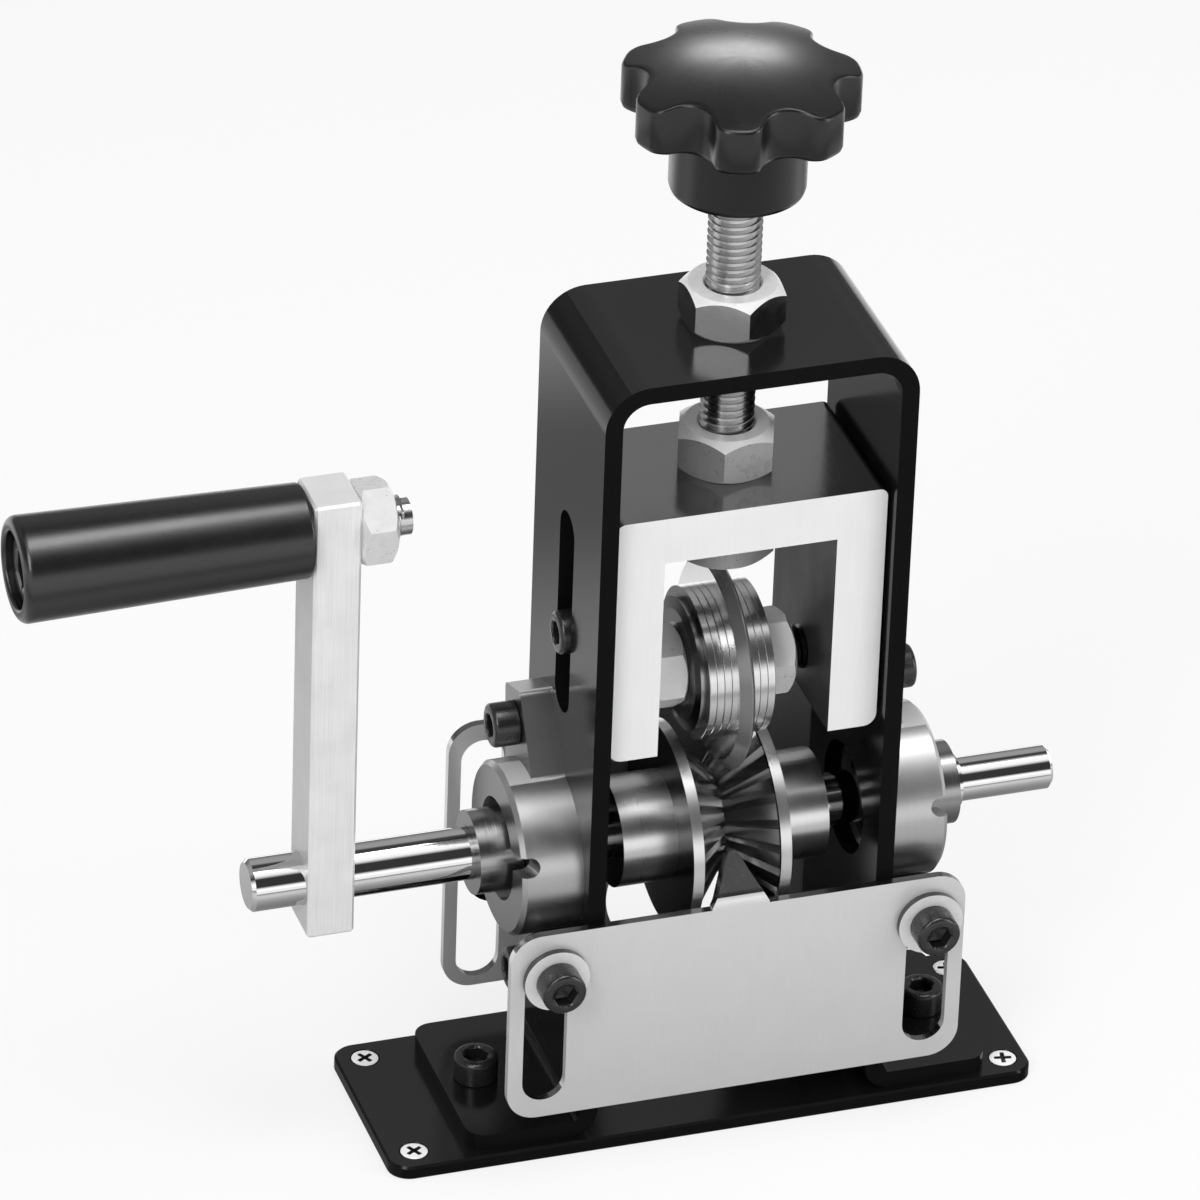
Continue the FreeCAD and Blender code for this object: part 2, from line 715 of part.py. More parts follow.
node("bearing_inner_rings", join(inner_rings, "bearing_inner_rings"))
node("collar_set_screws", join(grubs, "collar_set_screws"))

# ---------------------------------------------------------------- drive shaft and serrated wheels
step_at = frame_half + collar_reach + shaft_shoulder
shaft = turned("shaft_blank", "X", [
    (-shaft_left, 0), (-shaft_left, shaft_radius - shaft_bevel), (-shaft_left + shaft_bevel, shaft_radius),
    (step_at, shaft_radius), (step_at, shaft_end_radius), (shaft_right - shaft_bevel, shaft_end_radius),
    (shaft_right, shaft_end_radius - shaft_bevel), (shaft_right, 0)])
node("drive_shaft", put(shaft, 0, 0, shaft_height))
grubs = []
for side, word in ((-1, "left"), (1, "right")):
    wheel = turned("wheel_" + word, "X", [
        (0, shaft_radius + fit), (wheel_hub_reach * side, shaft_radius + fit),
        (wheel_hub_reach * side, wheel_hub), (wheel_flange * side, wheel_hub),
        (wheel_flange * side, wheel_rim), (wheel_cone * side, wheel_rim),
        (wheel_cone * side, wheel_face), (0, wheel_root)])
    deep = wheel_face.number() - wheel_root.number()
    slant = math.hypot(deep, wheel_cone.number())
    lean = math.degrees(math.atan2(wheel_cone.number() * side, deep))
    tooth = wheel.newObject("PartDesign::SubtractiveWedge", fresh("tooth"))
    tooth.AttachmentSupport = (origin_item(wheel, "XY_Plane"), [""])
    tooth.MapMode = "FlatFace"
    for prop, value in (("Xmin", -tooth_inner), ("Xmax", tooth_inner), ("Zmin", -tooth_inner),
                        ("Zmax", tooth_inner), ("X2min", -tooth_outer), ("X2max", tooth_outer),
                        ("Z2min", -tooth_outer), ("Z2max", tooth_outer)):
        bind(tooth, prop, value)
    tooth.Ymin = -1.0
    tooth.Ymax = slant + tooth_over.number()
    turn = FreeCAD.Rotation(Y_AXIS, lean).multiply(FreeCAD.Rotation(X_AXIS, 90))
    turn = turn.multiply(FreeCAD.Rotation(Y_AXIS, 45))
    tooth.AttachmentOffset = FreeCAD.Placement(FreeCAD.Vector(0, 0, wheel_root.number()), turn)
    bind(tooth, "AttachmentOffset.Base.z", wheel_root)
    doc.recompute()
    teeth = wheel.newObject("PartDesign::PolarPattern", fresh("teeth"))
    teeth.Originals = [tooth]
    teeth.Axis = (origin_item(wheel, "X_Axis"), [""])
    teeth.Angle = 360
    bind(teeth, "Occurrences", tooth_count)
    wheel.Tip = teeth
    doc.recompute()
    put(wheel, 0, 0, shaft_height, FreeCAD.Rotation(X_AXIS, wheel_phase.number()))
    x = wheel_screw_reach * side
    tools = [rod("Z", wheel_screw + fit, shaft_height - wheel_hub - 1, shaft_height, x, 0)]
    node("drive_wheel_" + word, cut(wheel, tools, "drive_wheel_" + word))
    grubs.append(
        grub_screw(wheel_screw, shaft_height - wheel_hub + 0.3, shaft_height - shaft_radius - fit, x, 0))
node("wheel_set_screws", join(grubs, "wheel_set_screws"))

# ---------------------------------------------------------------- crank and grip
arm = solid_body("arm_blank")
low = shaft_height - arm_low
high = shaft_height + arm_high
pad(arm, outline(arm, "YZ_Plane", [(-arm_half, low), (arm_half, low), (arm_half, high), (-arm_half, high)],
                 offset=-arm_outer), arm_outer - arm_inner)
soften(arm, "Chamfer", arm_bevel, lambda e: True)
handle_height = shaft_height + grip_axis
arm_middle = (arm_outer + arm_inner) * -0.5
tools = [
    rod("X", shaft_radius + fit, -arm_outer - 1, -arm_inner + 1, 0, shaft_height),
    rod("X", m10_shank + fit, -arm_outer - 1, -arm_inner + 1, 0, handle_height),
    rod("Z", wheel_screw + fit, low - 1, shaft_height, arm_middle, 0),
]
node("crank_arm", cut(arm, tools, "crank_arm"))
node("crank_set_screw", grub_screw(wheel_screw, low + 0.3, shaft_height - shaft_radius - fit, arm_middle, 0))
recess_face = -grip_end + grip_recess_deep
grip_bolt = socket_screw("X", -1, recess_face - 0.1, 0, handle_height,
                         grip_end - grip_recess_deep + 0.1 - grip_bolt_end, m10_head, m10_tall, m10_shank)
node("grip_bolt", grip_bolt)
node("grip_nut", hex_nut("X", m10_nut, m10_shank + fit, -arm_inner, -arm_inner + m10_nut_tall, 0,
                         handle_height, angle=15.0))
grip = turned("grip_sleeve", "X", [
    (-grip_end, grip_recess), (-grip_end + grip_recess_deep, grip_recess),
    (-grip_end + grip_recess_deep, m10_shank + run), (-arm_outer - grip_gap, m10_shank + run),
    (-arm_outer - grip_gap, grip_small - grip_rim_lip), (-arm_outer - grip_gap - grip_rim_lip, grip_small),
    (-grip_end + grip_rim_deep, grip_large), (-grip_end + grip_rim_lip, grip_large - grip_rim_lip),
    (-grip_end, grip_large - grip_rim_drop)])
node("grip_sleeve", put(grip, 0, 0, handle_height))

# ---------------------------------------------------------------- guide plates, lugs, screws and washers
lugs = []
washers = []
guide_screws = []
lug_height = shaft_height - lug_drop
plate_front = plate_back + plate_thick
for row in (-1, 1):
    for side in (-1, 1):
        x = lug_reach * side
        low = plate_back - lug_deep if row > 0 else -plate_back + fit
        high = plate_back - fit if row > 0 else -plate_back + lug_deep
        near, far = (frame_half, x) if side > 0 else (x, -frame_half)
        blank = join([
            rod("Y", lug_radius, low, high, x, lug_height),
            block(near, far, low, high, lug_height - lug_radius, lug_height + lug_radius)])
        lugs.append(cut(blank, [rod("Y", m6_shank + fit, low - 1, high + 1, x, lug_height)]))
        face = (plate_front + fit) * row
        low, high = (face, face + washer_thick) if row > 0 else (face - washer_thick, face)
        washers.append(cut(rod("Y", washer_radius, low, high, x, lug_height),
                           [rod("Y", m6_shank + fit, low - 1, high + 1, x, lug_height)]))
        guide_screws.append(socket_screw("Y", row, face + washer_thick * row, x, lug_height,
                                         washer_thick + plate_thick + lug_deep - guide_screw_spare))
node("guide_lugs", join(lugs, "guide_lugs"))
node("guide_washers", join(washers, "guide_washers"))
node("guide_screws", join(guide_screws, "guide_screws"))


def guide_blank(name, half, middle, low, high, offset):
    """Flat plate with rounded corners whose rear face is `offset` in front of the XZ plane."""
    item = solid_body(name)
    corners = [(middle - half, low), (middle + half, low), (middle + half, high), (middle - half, high)]
    pad(item, outline(item, "XZ_Plane", corners, offset=offset), plate_thick)
    soften(item, "Fillet", plate_corner, lambda e: straight(e, Y_AXIS))
    return item


front_top = shaft_height - front_high
front = guide_blank("front_blank", front_half, front_shift, shaft_height - front_low, front_top, plate_back)
bend_sin = math.sin(math.radians(tab_angle.number()))
bend_cos = math.cos(math.radians(tab_angle.number()))
outer_bend = tab_bend + plate_thick
centre_y = -plate_back + tab_bend
arc_inner = (centre_y - tab_bend * bend_cos, front_top + tab_bend * bend_sin)
arc_outer = (centre_y - outer_bend * bend_cos, front_top + outer_bend * bend_sin)
tip_inner = (arc_inner[0] + tab_straight * bend_sin, arc_inner[1] + tab_straight * bend_cos)
tip_outer = (arc_outer[0] + tab_straight * bend_sin, arc_outer[1] + tab_straight * bend_cos)
tab = solid_body("tab_strip")
strip = [
    (-plate_front, front_top - 1), (-plate_back, front_top - 1), (-plate_back, front_top, tab_bend),
    arc_inner, tip_inner, tip_outer, (arc_outer[0], arc_outer[1], -outer_bend), (-plate_front, front_top),
]
pad(tab, outline(tab, "YZ_Plane", strip, offset=tab_shift - tab_half), tab_half * 2)
wedge = solid_body("tab_wedge")
reach = tip_outer[1]
wedge_corners = [
    (tab_shift - tab_half, front_top - 2), (tab_shift + tab_half, front_top - 2),
    (tab_shift + tab_half, front_top + 0.5), (tab_shift + tab_tip, reach + 0.5),
    (tab_shift - tab_tip, reach + 0.5), (tab_shift - tab_half, front_top + 0.5)]
pad(wedge, outline(wedge, "XZ_Plane", wedge_corners, offset=0), plate_front + 2)
front_sheet = join([front, common([tab, wedge])])
tools = []
for side in (-1, 1):
    tools.append(slot_tool("Y", plate_slot, shaft_height - front_slot_low, shaft_height - front_slot_high,
                           -plate_front - 1, -plate_back + 1, front_shift + front_slot_reach * side))
node("front_guide_plate", cut(front_sheet, tools, "front_guide_plate"))

rear = guide_blank("rear_blank", rear_half, as_size(0), shaft_height - rear_low, shaft_height + rear_high,
                   -plate_front)
tools = [rod("Y", rear_hole, plate_back - 1, plate_front + 1, 0, shaft_height - rear_hole_drop)]
for side in (-1, 1):
    tools.append(slot_tool("Y", plate_slot, shaft_height - rear_slot_low, shaft_height + rear_slot_high,
                           plate_back - 1, plate_front + 1, rear_slot_reach * side))
node("rear_guide_plate", cut(rear, tools, "rear_guide_plate"))

# ---------------------------------------------------------------- carriage
slide = solid_body("carriage_blank")
low = shaft_height + carriage_low
high = shaft_height + carriage_high
under = high - carriage_bar
pad(slide, outline(slide, "XZ_Plane", [
    (-carriage_half, low), (-carriage_inner, low), (-carriage_inner, under), (carriage_inner, under),
    (carriage_inner, low), (carriage_half, low), (carriage_half, high), (-carriage_half, high)],
    offset=carriage_depth * -0.5), carriage_depth)
soften(slide, "Fillet", carriage_top_round, lambda e: straight(e, Y_AXIS) and at_point(e, z=high.number()))
soften(slide, "Fillet", carriage_leg_round, lambda e: straight(e, Y_AXIS) and at_point(e, z=low.number())
       and abs(abs(e.CenterOfMass.x) - carriage_half.number()) < 1e-3)
blade_axis = shaft_height + blade_height
guide_height = shaft_height + guide_head_height
tools = [
    rod("X", m10_shank + fit, -carriage_half - 1, carriage_half + 1, 0, blade_axis),
    rod("Z", spindle_radius + run, under - 1, high + 1),
]
guide_heads = []
for side in (-1, 1):
    deep = guide_screw_deep + guide_screw_spare
    near = carriage_half - deep if side > 0 else -carriage_half - 1
    far = carriage_half + 1 if side > 0 else -carriage_half + deep
    tools.append(rod("X", m6_shank + fit, near, far, 0, guide_height))
    guide_heads.append(socket_screw("X", side, carriage_half * side, 0, guide_height, guide_screw_deep,
                                    leg_slot_half - guide_head_gap, guide_head_reach - carriage_half))
node("carriage", cut(slide, tools, "carriage"))
node("carriage_guide_screws", join(guide_heads, "carriage_guide_screws"))
node("blade_axle", rod("X", m10_shank, -axle_end, axle_end, 0, blade_axis))

# ---------------------------------------------------------------- blade stack
stack_right = blade_right + right_spacer * 4
stack_left = blade_left + left_spacer * 3
hub = turned("blade_hub", "X", [
    (-hub_left, hub_seat), (stack_right, hub_seat), (stack_right, blade_bore - fit),
    (-stack_left, blade_bore - fit), (-stack_left, hub_flange), (-hub_left + hub_step_deep, hub_flange),
    (-hub_left, hub_step)])
node("blade_hub", put(hub, 0, 0, blade_axis))
blade = turned("blade_disc", "X", [
    (-blade_left, blade_bore), (blade_right, blade_bore), (blade_right, blade_face),
    (blade_tip_high, blade_edge), (blade_tip_low, blade_edge), (-blade_left, blade_bevel_left)])
node("blade_disc", put(blade, 0, 0, blade_axis))


def washer_stack(start, thick, count):
    found = []
    for index in range(count):
        low = start + thick * index
        high = start + thick * (index + 1)
        bevelled = cut(rod("X", spacer_radius, low, high, 0, blade_axis),
                       [rod("X", blade_bore, low - 1, high + 1, 0, blade_axis)])
        found.append(bevelled)
    return found


def separate(items, label):
    """Group touching solids as one node without merging them."""
    item = doc.addObject("Part::Compound", label)
    item.Links = items
    return item


node("blade_spacers_left", separate(washer_stack(-stack_left, left_spacer, 3), "blade_spacers_left"))
node("blade_spacers_right", separate(washer_stack(blade_right, right_spacer, 4), "blade_spacers_right"))
left_face = -hub_left - nut_gap
right_face = stack_right + nut_gap
small_outer = []
small_inner = []
for low in (-hub_left, stack_right - small_bearing_wide):
    high = low + small_bearing_wide
    small_outer.append(cut(rod("X", hub_seat - fit, low, high, 0, blade_axis),
                           [rod("X", small_outer_inner, low - 1, high + 1, 0, blade_axis)]))
for low, high in (
        (left_face, left_face + small_bearing_wide),
        (right_face - small_bearing_wide, right_face),
        (left_face + small_bearing_wide + fit, right_face - small_bearing_wide - fit)):
    small_inner.append(cut(rod("X", small_inner_outer, low, high, 0, blade_axis),
                           [rod("X", m10_shank + fit, low - 1, high + 1, 0, blade_axis)]))
node("blade_bearing_outer_rings", join(small_outer, "blade_bearing_outer_rings"))
node("blade_bearing_inner_rings", separate(small_inner, "blade_bearing_inner_rings"))
axle_nuts = [
    hex_nut("X", m10_nut, m10_shank + fit, left_face - m10_nut_tall, left_face, 0, blade_axis, angle=107.0),
    hex_nut("X", m10_nut, m10_shank + fit, right_face, right_face + m10_nut_tall, 0, blade_axis,
            angle=140.7),
]
node("axle_nuts", join(axle_nuts, "axle_nuts"))

# ---------------------------------------------------------------- spindle, lock nuts and knob
spindle_end = shaft_height + spindle_top
node("spindle", rod("Z", spindle_radius, shaft_height + spindle_low, spindle_end))
bar_top = shaft_height + carriage_high + run
lock_nuts = [
    hex_nut("Z", lock_nut_corner, spindle_radius + fit, bar_top, bar_top + upper_lock_tall, angle=-110.0),
    hex_nut("Z", lock_nut_corner, spindle_radius + fit, under - run - lower_lock_tall, under - run,
            angle=-96.0),
]
node("spindle_lock_nuts", join(lock_nuts, "spindle_lock_nuts"))
dome = shaft_height + knob_dome
under_lobes = shaft_height + knob_under
profile = turned("knob_profile", "Z", [
    (0, shaft_height + knob_low), (knob_hub, shaft_height + knob_low), (knob_hub, under_lobes),
    (crown_radius_1, under_lobes), (crown_radius_1, dome - crown_drop_1),
    (crown_radius_2, dome - crown_drop_2),
    (crown_radius_3, dome - crown_drop_3), (crown_radius_4, dome - crown_drop_4),
    (crown_radius_5, dome - crown_drop_5), (0, dome)])
knob = solid_body("knob_blank")
knob_tall = knob_dome - knob_low
knob_round = circle(knob, "XY_Plane", knob_radius, offset=shaft_height + knob_low - knob_over)
pad(knob, knob_round, knob_tall + knob_over * 2)
valley = circle(knob, "XY_Plane", knob_valley, knob_valley_out, 0, offset=dome + knob_over * 2)
scoop = pocket(knob, valley, knob_tall + knob_over * 4)
lobes = knob.newObject("PartDesign::PolarPattern", fresh("lobes"))
lobes.Originals = [scoop]
lobes.Axis = (origin_item(knob, "Z_Axis"), [""])
lobes.Angle = 360
bind(lobes, "Occurrences", knob_lobes)
knob.Tip = lobes
doc.recompute()
soften(knob, "Fillet", knob_tip_round, lambda e: straight(e, Z_AXIS)
       and abs(math.hypot(e.CenterOfMass.x, e.CenterOfMass.y) - knob_radius.number()) < 1e-2)
star = cut(common([profile, knob]),
           [rod("Z", spindle_radius + fit, shaft_height + knob_low - 1, spindle_end + fit)], "knob")
half_pitch = 180.0 / knob_lobes.number()
put(star, 0, 0, 0, FreeCAD.Rotation(Z_AXIS, knob_turn.number() + half_pitch))
node("knob", star)

# ---------------------------------------------------------------- labels, checks and export
doc.recompute()
for label, item in parts.items():
    item.Label = label
for item in doc.Objects:
    if "Invalid" in item.State or "Error" in item.State:
        raise RuntimeError("%s is not valid: %s" % (item.Name, item.State))
for label, item in parts.items():
    shape = item.Shape
    if shape.isNull() or not shape.isValid():
        raise RuntimeError("bad shape in " + label)
    print("%-28s %2d solid(s) %10.1f mm3  %s" % (label, len(shape.Solids), shape.Volume, shape.BoundBox))
    shape.exportStep("parts/%s.step" % label)
print(len(parts), "nodes")
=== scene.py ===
# %% [markdown]
# # Hand crank wire stripper
# This lesson dresses a finished CAD model of a small bench tool: a folded steel frame, cranked feed wheels
# and a disc blade on a screw spindle. The CAD gives the pieces their places and sizes; only the three nuts
# on the spindle are drawn a little wider. Blender adds what a maker would add last: threads, sockets,
# rounded edges, paint, plating and turned steel.

# %% Load the CAD frame
import json
import math
import bmesh
import bpy
from mathutils import Matrix, Vector


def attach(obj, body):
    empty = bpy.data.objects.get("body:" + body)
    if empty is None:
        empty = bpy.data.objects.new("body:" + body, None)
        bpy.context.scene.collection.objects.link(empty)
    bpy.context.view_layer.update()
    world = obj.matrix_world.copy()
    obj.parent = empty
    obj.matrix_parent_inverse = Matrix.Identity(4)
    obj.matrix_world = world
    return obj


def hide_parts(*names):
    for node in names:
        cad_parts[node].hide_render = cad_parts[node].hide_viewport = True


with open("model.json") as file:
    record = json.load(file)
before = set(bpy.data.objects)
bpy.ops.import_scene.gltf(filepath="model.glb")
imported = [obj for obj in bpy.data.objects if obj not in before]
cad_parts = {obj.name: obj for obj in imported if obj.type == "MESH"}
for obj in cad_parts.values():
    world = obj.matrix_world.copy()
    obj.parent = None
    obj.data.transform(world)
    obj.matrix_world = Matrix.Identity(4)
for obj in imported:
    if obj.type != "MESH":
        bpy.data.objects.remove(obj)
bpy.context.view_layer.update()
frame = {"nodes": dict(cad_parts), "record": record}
nodes = frame["nodes"]

# Sizes are in millimetres where no comment says metres. The origin lies on the underside of the base plate,
# below the middle of the frame. X runs along the drive shaft away from the crank, Y to the rear and Z up.
MM = 0.001
print("CAD nodes:", len(nodes))

# %% [markdown]
# ## A studio of light
# Dark paint and bright metal only look right when they have something to reflect. The sky in front of the
# tool is bright at the horizon and overhead. A dark band between the two keeps polished steel from turning
# plain white. The sky behind the tool is dim. Three large lamps add soft bands, and a small one lights only
# the knob. The camera sees plain white in place of this sky.

# %% Shader node helpers
scene = bpy.context.scene
scene.view_settings.view_transform = "Standard"


def add(tree, kind, **settings):
    """One shader node; settings are its properties."""
    item = tree.nodes.new(kind)
    for name, value in settings.items():
        setattr(item, name, value)
    return item


def feed(tree, value, socket):
    """Set a socket to a number or link it to a node."""
    if isinstance(value, (int, float)):
        socket.default_value = value
    else:
        tree.links.new(value, socket)


def math_node(tree, operation, *values):
    """A math node; each value is a number or the output of another node."""
    item = add(tree, "ShaderNodeMath", operation=operation)
    for index, value in enumerate(values):
        feed(tree, value, item.inputs[index])
    return item.outputs[0]


def ramp_node(tree, fac, stops):
    """A grey ramp through (place, level) pairs."""
    item = add(tree, "ShaderNodeValToRGB")
    while len(item.color_ramp.elements) < len(stops):
        item.color_ramp.elements.new(0.5)
    for element, (place, level) in zip(item.color_ramp.elements, stops):
        element.position = place
        element.color = (level, level, level, 1.0)
    tree.links.new(fac, item.inputs["Fac"])
    return item.outputs["Color"]


def mix_shader(tree, factor, first, second):
    """The first shader where the factor is 0, the second where it is 1."""
    item = add(tree, "ShaderNodeMixShader")
    for index, socket in enumerate((factor, first, second)):
        tree.links.new(socket, item.inputs[index])
    return item.outputs[0]


print("render view:", scene.view_settings.view_transform)

# %% World
# Height is 0 straight below, 0.5 at the horizon and 1 overhead. Depth is 0 in front of the tool and 1
# behind it.
even_light, mirror_light, white_light = 0.6, 1.25, 1.0
world = bpy.data.worlds.new("studio")
scene.world = world
world.use_nodes = True
tree = world.node_tree
tree.nodes.clear()
coords = add(tree, "ShaderNodeTexCoord")
split = add(tree, "ShaderNodeSeparateXYZ")
tree.links.new(coords.outputs["Generated"], split.inputs[0])
height = math_node(tree, "MULTIPLY_ADD", split.outputs["Z"], 0.5, 0.5)
depth = math_node(tree, "MULTIPLY_ADD", split.outputs["Y"], 4.0, 0.1)
near_sky = ramp_node(tree, height, [
    (0.0, 0.5), (0.36, 0.5), (0.43, 0.95), (0.56, 1.0), (0.645, 0.03), (0.88, 0.03), (0.94, 0.85),
    (1.0, 0.9)])
far_sky = ramp_node(tree, height, [
    (0.0, 0.08), (0.46, 0.08), (0.60, 0.16), (0.70, 0.28), (0.89, 0.28), (0.93, 0.04), (1.0, 0.04)])
sky_mix = add(tree, "ShaderNodeMix", data_type="RGBA")
for socket, value in (("Factor", depth), ("A", near_sky), ("B", far_sky)):
    tree.links.new(value, sky_mix.inputs[socket])
sky = sky_mix.outputs["Result"]


def backdrop(colour, strength):
    """A background in white or in the colour of a node."""
    item = add(tree, "ShaderNodeBackground")
    item.inputs["Strength"].default_value = strength
    if colour is None:
        item.inputs["Color"].default_value = (1.0, 1.0, 1.0, 1.0)
    else:
        tree.links.new(colour, item.inputs["Color"])
    return item.outputs[0]


rays = add(tree, "ShaderNodeLightPath")
shiny = math_node(tree, "MAXIMUM", rays.outputs["Is Glossy Ray"], rays.outputs["Is Transmission Ray"])
lit = mix_shader(tree, shiny, backdrop(None, even_light), backdrop(sky, mirror_light))
seen = mix_shader(tree, rays.outputs["Is Camera Ray"], lit, backdrop(None, white_light))
out = add(tree, "ShaderNodeOutputWorld")
tree.links.new(seen, out.inputs["Surface"])
print("world nodes:", len(tree.nodes))

# %% Lamps
# Places and sizes are in metres, powers in watts.
lamp_target = Vector((0, 0, 0.12))


def softbox(name, place, size, power):
    """A rectangular lamp aimed at the middle of the tool."""
    lamp = bpy.data.lights.new(name, "AREA")
    lamp.shape = "RECTANGLE"
    lamp.size, lamp.size_y = size
    lamp.energy = power
    item = bpy.data.objects.new(name, lamp)
    scene.collection.objects.link(item)
    item.location = place
    item.rotation_euler = (lamp_target - Vector(place)).to_track_quat("-Z", "Y").to_euler()
    return item


softbox("key_lamp", (-0.9, -0.9, 1.1), (0.5, 0.9), 9.0)
softbox("fill_lamp", (1.1, -0.8, 0.7), (0.4, 0.9), 5.0)
softbox("top_lamp", (0.1, -0.15, 1.4), (0.8, 0.4), 6.0)
knob_lamp = softbox("knob_lamp", (0.355, 1.03, 0.76), (0.3, 0.22), 2.6)

# %% [markdown]
# ## Floor and camera
# The floor is a pale sheet that shows as white and keeps the tool's shadow. Seen in metal it glows with
# painted light: wide oval rings of light and painted shade, darkest close to the tool and brighter behind
# it, which give the lower faces their shading. The long lens stands far off to the left and above, which
# keeps the frame's upright edges nearly parallel.

# %% Floor
# Lengths are in metres. `camera_white` is the share of plain white in what the camera sees of the sheet.
span = 6.0
floor_gap = 0.0002
brighter_from = 0.06
camera_white = 0.72
sheet_corners = [(-span, -span, 0), (span, -span, 0), (span, span, 0), (-span, span, 0)]
floor_mesh = bpy.data.meshes.new("floor")
floor_mesh.from_pydata(sheet_corners, [], [(0, 1, 2, 3)])
floor = bpy.data.objects.new("floor", floor_mesh)
scene.collection.objects.link(floor)
floor.location.z = -floor_gap
floor_finish = bpy.data.materials.new("floor_sheet")
floor_finish.use_nodes = True
tree = floor_finish.node_tree
base = tree.nodes["Principled BSDF"]
base.inputs["Base Color"].default_value = (0.82, 0.82, 0.82, 1)
base.inputs["Roughness"].default_value = 0.9
base.inputs["Specular IOR Level"].default_value = 0.1
# What metal reflects of the sheet is painted light: a glow in rings round the tool, painted shade close to
# it, and a third more light behind it (Y over brighter_from).
glow = add(tree, "ShaderNodeEmission")
painted_mirror_glow = add(tree, "ShaderNodeEmission")
ground = add(tree, "ShaderNodeSeparateXYZ")
tree.links.new(add(tree, "ShaderNodeTexCoord").outputs["Object"], ground.inputs[0])
across = math_node(tree, "MULTIPLY", ground.outputs["X"], 0.5)
away = math_node(tree, "SQRT", math_node(
    tree, "ADD", math_node(tree, "POWER", across, 2.0), math_node(tree, "POWER", ground.outputs["Y"], 2.0)))
painted_rings = ramp_node(tree, math_node(tree, "MULTIPLY", away, 2.0), [
    (0.0, 0.2), (0.08, 0.2), (0.26, 0.66), (0.38, 0.66), (0.48, 0.3), (0.58, 0.3), (0.70, 1.0), (1.0, 1.0)])
tree.links.new(painted_rings, painted_mirror_glow.inputs["Color"])
behind = math_node(tree, "GREATER_THAN", ground.outputs["Y"], brighter_from)
tree.links.new(math_node(tree, "MULTIPLY_ADD", behind, 0.35, 1.0), painted_mirror_glow.inputs["Strength"])
floor_rays = add(tree, "ShaderNodeLightPath")
glow_share = math_node(tree, "MULTIPLY", floor_rays.outputs["Is Camera Ray"], camera_white)
in_metal = math_node(
    tree, "MAXIMUM", floor_rays.outputs["Is Glossy Ray"], floor_rays.outputs["Is Transmission Ray"])
plain = mix_shader(tree, glow_share, base.outputs[0], glow.outputs[0])
blend = mix_shader(tree, in_metal, plain, painted_mirror_glow.outputs[0])
tree.links.new(blend, tree.nodes["Material Output"].inputs["Surface"])
floor_mesh.materials.append(floor_finish)
print("floor:", 2 * span, "metres wide")

# %% Camera
# The three directions are the picture's right, its down and the line of sight. The place is in metres.
camera_place = (-0.614296, -1.701123, 1.231563)
camera_data = bpy.data.cameras.new("camera")
camera_data.sensor_width = 36.0
camera_data.lens = 290.06
camera_data.clip_end = 20.0
camera = bpy.data.objects.new("camera", camera_data)
scene.collection.objects.link(camera)
right = Vector((0.950983, -0.307644, 0.031408))
down = Vector((-0.135504, -0.505842, -0.851917))
ahead = Vector((0.277975, 0.805903, -0.522734))
turn = Matrix((right, -down, -ahead)).transposed().to_4x4()
camera.matrix_world = Matrix.Translation(camera_place) @ turn
scene.camera = camera
print("lens:", camera_data.lens)

# %% [markdown]
# ## Finishes
# Each finish starts from one shader and a few helpers. Turned steel gets rings that follow the lathe, sheet
# metal gets a stretched grain, and paint gets a faint ripple. Colour and roughness vary a little
# everywhere, and many finishes carry fine scratches, because no real surface is even. Many finishes also
# have painted light: their colour is darker or lighter on the faces that look along one axis, painted
# shade on some faces and a painted highlight on others.

# %% Coordinates and noise
mm_per_metre = 1000.0


def place_of(tree, stretch=(1.0, 1.0, 1.0), centre=(0.0, 0.0, 0.0)):
    """Object coordinates in millimetres, measured from a centre and stretched."""
    coords = add(tree, "ShaderNodeTexCoord")
    item = add(tree, "ShaderNodeMapping", vector_type="POINT")
    item.inputs["Scale"].default_value = [mm_per_metre * value for value in stretch]
    item.inputs["Location"].default_value = [-value * scale for value, scale in zip(centre, stretch)]
    tree.links.new(coords.outputs["Object"], item.inputs["Vector"])
    return item.outputs[0]


def noise(tree, place, scale, detail=3.0, rough=0.5):
    """A noise from 0 to 1; the scale is the number of grains to a millimetre."""
    item = add(tree, "ShaderNodeTexNoise")
    item.inputs["Scale"].default_value = scale
    item.inputs["Detail"].default_value = detail
    item.inputs["Roughness"].default_value = rough
    tree.links.new(place, item.inputs["Vector"])
    return item.outputs["Fac"]


def map_range(tree, fac, from_low, from_high, low, high):
    """Stretch one range of a value over another."""
    item = add(tree, "ShaderNodeMapRange")
    ends = {"From Min": from_low, "From Max": from_high, "To Min": low, "To Max": high}
    for socket, value in ends.items():
        item.inputs[socket].default_value = value
    tree.links.new(fac, item.inputs["Value"])
    return item.outputs["Result"]


def vary(tree, fac, low, high):
    """Spread the middle half of a noise over a range."""
    return map_range(tree, fac, 0.25, 0.75, low, high)


# %% Colour, relief, lathe marks and faces
def mix_colour(tree, fac, first, second):
    """The first colour where the factor is 0, the second where it is 1."""
    item = add(tree, "ShaderNodeMix", data_type="RGBA")
    tree.links.new(fac, item.inputs["Factor"])
    item.inputs["A"].default_value = (*first, 1.0)
    item.inputs["B"].default_value = (*second, 1.0)
    return item.outputs["Result"]


def bump(tree, shader, fac, depth):
    """Relief of the given depth in metres."""
    item = add(tree, "ShaderNodeBump")
    item.inputs["Distance"].default_value = depth
    item.inputs["Strength"].default_value = 0.5
    tree.links.new(fac, item.inputs["Height"])
    tree.links.new(item.outputs["Normal"], shader.inputs["Normal"])


